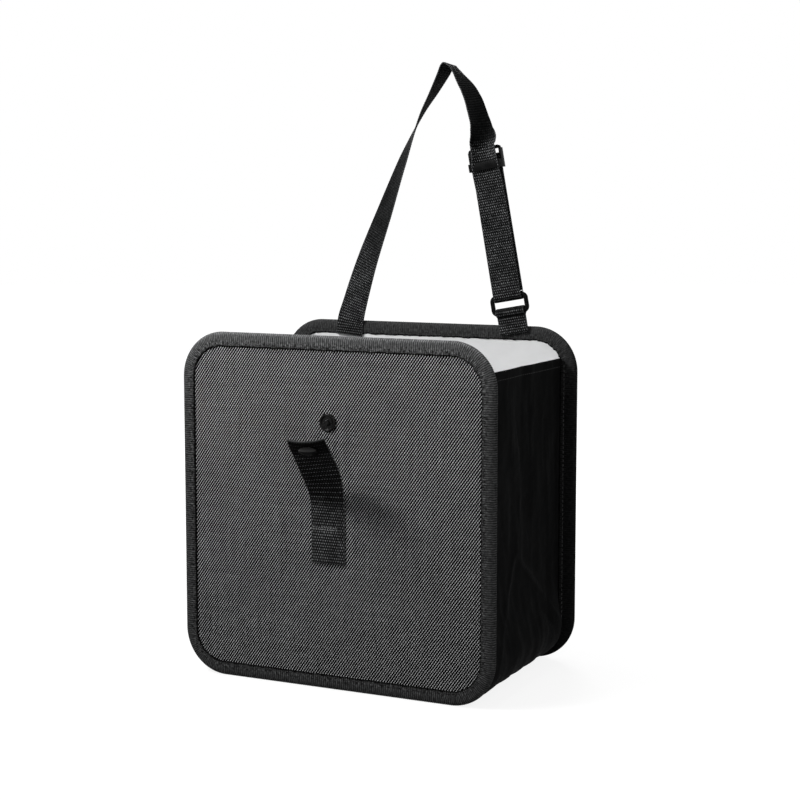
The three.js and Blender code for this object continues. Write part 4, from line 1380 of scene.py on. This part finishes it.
add_hanging_strap()
add_tail()
add_ring()
add_slider()
RING_TONGUE = (RING_ABOVE + RING_LOOP_SEWN) / math.cos(STRAP_LEAN) - RING_BAR
add_eye("ring_loop_webbing", RING_WIRE / 2, RING_TONGUE, EYE_SLACK, RING_BAR_Y, -RING_BAR,
        "back_panel", "ring_loop")
add_eye("slider_end_webbing", SLIDER_CENTRE_BAR / 2, SLIDER_SEWN, 0.0, SLIDER_BAR_Y,
        SLIDER_ABOVE_RING, "strap_slider", "slider_strap_end")
cross_stitches(
    "slider_end_stitches", SLIDER_BAR_Y + WEBBING, SLIDER_ABOVE_RING - SLIDER_SEWN, 1,
    "strap_slider", rows=(2.0, 6.5))
cross_stitches(
    "ring_loop_stitches", RING_BAR_Y - WEBBING, -RING_BAR - RING_TONGUE, -1, "back_panel",
    rows=(2.2, 8.0))


# Tab


def tab_edge(length, side):
    """Lift off the panel and height of the tab's left (0) or right (1) edge."""
    free = max(0.0, length - TAB_FLAT[side])
    radius = TAB_BEND[side] / TAB_LEAN[side]
    angle = min(free, TAB_BEND[side]) / radius
    straight = max(0.0, free - TAB_BEND[side])
    lift = radius * (1 - math.cos(angle)) + straight * math.sin(angle)
    flat = min(length, TAB_FLAT[side])
    return lift, flat + radius * math.sin(angle) + straight * math.cos(angle)


def tab_point(length, share):
    """Point of the tab's middle layer, share from -1 at its left edge to 1."""
    (left_lift, left_height), (right_lift, right_height) = (
        tab_edge(length, 0), tab_edge(length, 1))
    k = (share + 1) / 2
    cup = TAB_CUP * float(smoothstep(length, TAB_LENGTH - TAB_CUP_LENGTH, TAB_LENGTH))
    cup *= 1 - share * share
    lean = sum(TAB_LEAN) / 2
    flat = min(TAB_FLAT)
    free = max(0.0, (length - flat) / (TAB_LENGTH - flat))
    face = COVER_FACE - LAYER_GAP - TAB_THICKNESS / 2
    return np.array([
        TAB_ACROSS + share * TAB_WIDTH / 2 + TAB_SIDE_LEAN * free**1.6,
        face - (left_lift + (right_lift - left_lift) * k) - cup * math.cos(lean),
        TAB_BOTTOM + left_height + (right_height - left_height) * k - cup * math.sin(lean),
    ])


def tab_normal(length, share):
    """Outward direction of the tab's front face."""
    along = tab_point(length + 0.5, share) - tab_point(length - 0.5, share)
    across = tab_point(length, share + 0.05) - tab_point(length, share - 0.05)
    return unit(np.cross(across, along))


def add_tab():
    """The tab's webbing, with its cords as real ribs and a turned-in foot."""
    lengths = np.linspace(0, TAB_LENGTH, int(TAB_LENGTH / (TAB_RIB / 5)) + 1)
    section = webbing_section(TAB_WIDTH, TAB_THICKNESS, 13)
    columns = [[] for _ in section]
    for length in lengths:
        ridge = TAB_CORD * (0.5 + 0.5 * math.cos(2 * math.pi * length / TAB_RIB)) - TAB_CORD
        foot = 1 + 0.25 * float(smoothstep(8 - length, 0, 4))
        ragged = 0.3 * math.sin(length * 1.9) * math.sin(length * 0.37)
        for k, (a, n) in enumerate(section):
            share = a / (TAB_WIDTH / 2)
            face = abs(n) / (TAB_THICKNESS / 2)
            out = tab_normal(length, share)
            across = unit(tab_point(length, share + 0.05) - tab_point(length, share - 0.05))
            lift = n * (foot if n > 0 else 1) + ridge * face * np.sign(n)
            point = tab_point(length, share) + out * lift
            columns[k].append(point + across * (1 - face) * 0.4 * ragged * np.sign(a))
    v = [a for a, _ in section]
    grid = in_row(np.array(columns).transpose(1, 0, 2))
    made = add_sweep("tab_webbing", grid, lengths, v + [v[0]], TAB_WEB)
    mark(made, "facing", np.ones(len(made.data.vertices)))
    dress(made, "front_panel", "webbing", "closure_tab")


def tab_stitches(name, lengths, shares, thread):
    """Rows of stitches across the tab's front face."""
    starts, ends, outs = [], [], []
    low, high = shares
    pitch = 2.3 / (TAB_WIDTH / 2)
    for length in lengths:
        for share in np.arange(low, high - pitch, pitch):
            out = tab_normal(length, share)
            for at, row in ((share, starts), (share + pitch * 0.8, ends)):
                row.append(in_row(tab_point(length, at) + out * (TAB_THICKNESS / 2 - 0.05)))
            outs.append(out)
    made = stitches(name, starts, ends, outs, WEB_STITCH, thread)
    dress(made, "front_panel", "webbing")


def add_snap():
    """Cap and socket on the tab, stud and rivet on the panel."""
    length = TAB_LENGTH - SNAP_FROM_END
    out = tab_normal(length, 0)
    middle = in_row(tab_point(length, 0))
    seat = TAB_THICKNESS / 2 + SEWN_GAP
    shank = 2 * seat - SEWN_GAP
    cap = [(0, -shank), (1.6, -shank), (1.6, -0.02), (6.4, 0.0), (6.85, 0.12), (7.0, 0.45)]
    cap += [(7.0 * math.cos(a), 0.5 + 1.65 * math.sin(a)) for a in np.linspace(0.1, 1.52, 14)]
    cap += [(0, 2.15)]
    socket = [
        (0, 0), (5.5, 0), (5.8, 0.2), (5.75, 1.1), (5.3, 2.2), (4.8, 2.6), (3.2, 2.6),
        (2.6, 2.3), (2.6, 1.2), (0, 1.2),
    ]
    face = in_row([TAB_ACROSS, COVER_FACE - LAYER_GAP, STUD_HEIGHT])
    stud = [
        (0, 1.2), (1.9, 1.2), (1.9, 0), (6.1, 0), (6.45, 0.2), (6.6, 0.6), (6.55, 1.05),
        (6.3, 1.45), (5.9, 1.65), (5.5, 1.7), (5.1, 1.62), (4.75, 1.4), (4.5, 1.0), (4.2, 0.9),
        (2.4, 0.9), (2.05, 1.1), (1.95, 1.8), (2.15, 2.3), (2.3, 2.7), (2.2, 3.1), (1.8, 3.35),
        (1.1, 3.4), (0.7, 3.2), (0, 3.15),
    ]
    stack = COVER_THICKNESS + BOARD_THICKNESS + LINING_THICKNESS + 2 * LAYER_GAP
    back = in_row([TAB_ACROSS, COVER_FACE + stack + LAYER_GAP, STUD_HEIGHT])
    reach = stack + 2 * LAYER_GAP + 0.6
    rivet = [
        (0, -0.8), (3.6, -0.78), (4.8, -0.62), (5.3, -0.25), (5.4, 0), (1.6, 0), (1.6, reach),
        (0, reach),
    ]
    for node, profile, place, axis in (
        ("snap_cap", cap, middle + out * seat, out),
        ("snap_socket", socket, middle - out * (seat + SEWN_GAP), -out),
        ("snap_stud", stud, face, (0, -1, 0)),
        ("stud_rivet", rivet, back, (0, -1, 0)),
    ):
        made = lathe(f"{node}_enamel", profile, place, axis, SNAP)
        dress(made, "front_panel", "snap_metal", node)


add_tab()
tab_stitches("tab_pale_stitches", (24.0, 25.6), (-0.9, 0.72), PALE_THREAD)
tab_stitches("tab_foot_stitches", (2.2,), (-0.9, 0.9), DARK_THREAD)
add_snap()


# Floor, lights, camera


def floor_material():
    """Pale floor that shades and takes the shadow, white further off to the camera."""
    g = Graph("pale_floor")
    diffuse = g.shader("ShaderNodeBsdfDiffuse", Color=(0.25, 0.25, 0.25, 1))
    glow = g.shader("ShaderNodeEmission", Color=(1, 1, 1, 1))
    x, y, _ = g.split(g.place())
    away = g.math("SQRT", g.math("ADD", g.times(x, x), g.times(y, y)))
    g.put(glow.inputs["Strength"], g.times(g.remap(away, 0.3, 0.8, 0.88, 1.0), g.seen()))
    both = g.node("ShaderNodeAddShader")
    g.put(both.inputs[0], diffuse.outputs[0])
    g.put(both.inputs[1], glow.outputs[0])
    return g.output("Material", both)


def add_floor():
    """Disc just under the model, so that their faces don't meet."""
    radius, steps = 6, 64
    turns = [2 * math.pi * k / steps for k in range(steps)]
    mesh = bpy.data.meshes.new("floor")
    mesh.from_pydata(
        [(radius * math.cos(a), radius * math.sin(a), -0.2 * MM) for a in turns], [],
        [tuple(range(steps))])
    mesh.materials.append(floor_material())
    floor = link("floor", mesh)


def add_world():
    """Soft even studio light, and white wherever a ray sees the backdrop."""
    world = bpy.data.worlds.new("studio")
    bpy.context.scene.world = world
    g = Graph(owner=world)
    lit = g.shader("ShaderNodeBackground", Color=(1, 1, 1, 1), Strength=AMBIENT)
    white = g.shader("ShaderNodeBackground", Color=(1, 1, 1, 1), Strength=1.0)
    mix = g.node("ShaderNodeMixShader")
    for socket, value in zip(mix.inputs, (g.seen(), lit.outputs[0], white.outputs[0])):
        g.put(socket, value)
    g.output("World", mix)


def add_lamp(name, place, target, size, power):
    data = bpy.data.lights.new(name, "AREA")
    data.shape, data.size, data.energy = "DISK", size, power
    lamp = link(name, data)
    lamp.location = place
    lamp.rotation_mode = "QUATERNION"
    lamp.rotation_quaternion = (Vector(target) - Vector(place)).to_track_quat("-Z", "Y")


def add_camera():
    """Camera at the photo's viewing angle."""
    data = bpy.data.cameras.new("camera")
    data.sensor_width, data.lens = 36, CAMERA_LENS
    camera = link("camera", data)
    camera.location = CAMERA_PLACE
    camera.rotation_euler = (math.radians(90 - CAMERA_DOWN), 0, math.radians(CAMERA_ROUND))
    bpy.context.scene.camera = camera


CAMERA_LENS = 80.82
CAMERA_PLACE = (0.60189, -1.180382 + SHIFT_Y * MM, 0.35189)
CAMERA_DOWN = 6.49
CAMERA_ROUND = 26.46
AMBIENT = 0.12
add_floor()
add_world()
add_lamp("key", (-0.38, -0.46, 0.72), (-0.06, -0.08, 0.85), 0.3, 8.6)
add_lamp("key_core", (-0.4, -0.86, 0.74), (-0.03, -0.08, 0.18), 0.07, 1.0)
add_lamp("fill", (0.75, -0.95, 0.8), (0.0, 0.0, 0.25), 0.4, 1.2)
add_lamp("fill_core", (0.55, -1.0, 0.72), (-0.03, -0.08, 0.18), 0.06, 0.4)
add_lamp("back", (-0.45, 1.15, 0.8), (0.0, 0.1, 0.16), 0.6, 7.0)
add_lamp("top", (-0.1, 0.1, 1.5), (0.0, 0.05, 0.2), 0.8, 5)
add_camera()
bpy.context.scene.view_settings.view_transform = "Standard"
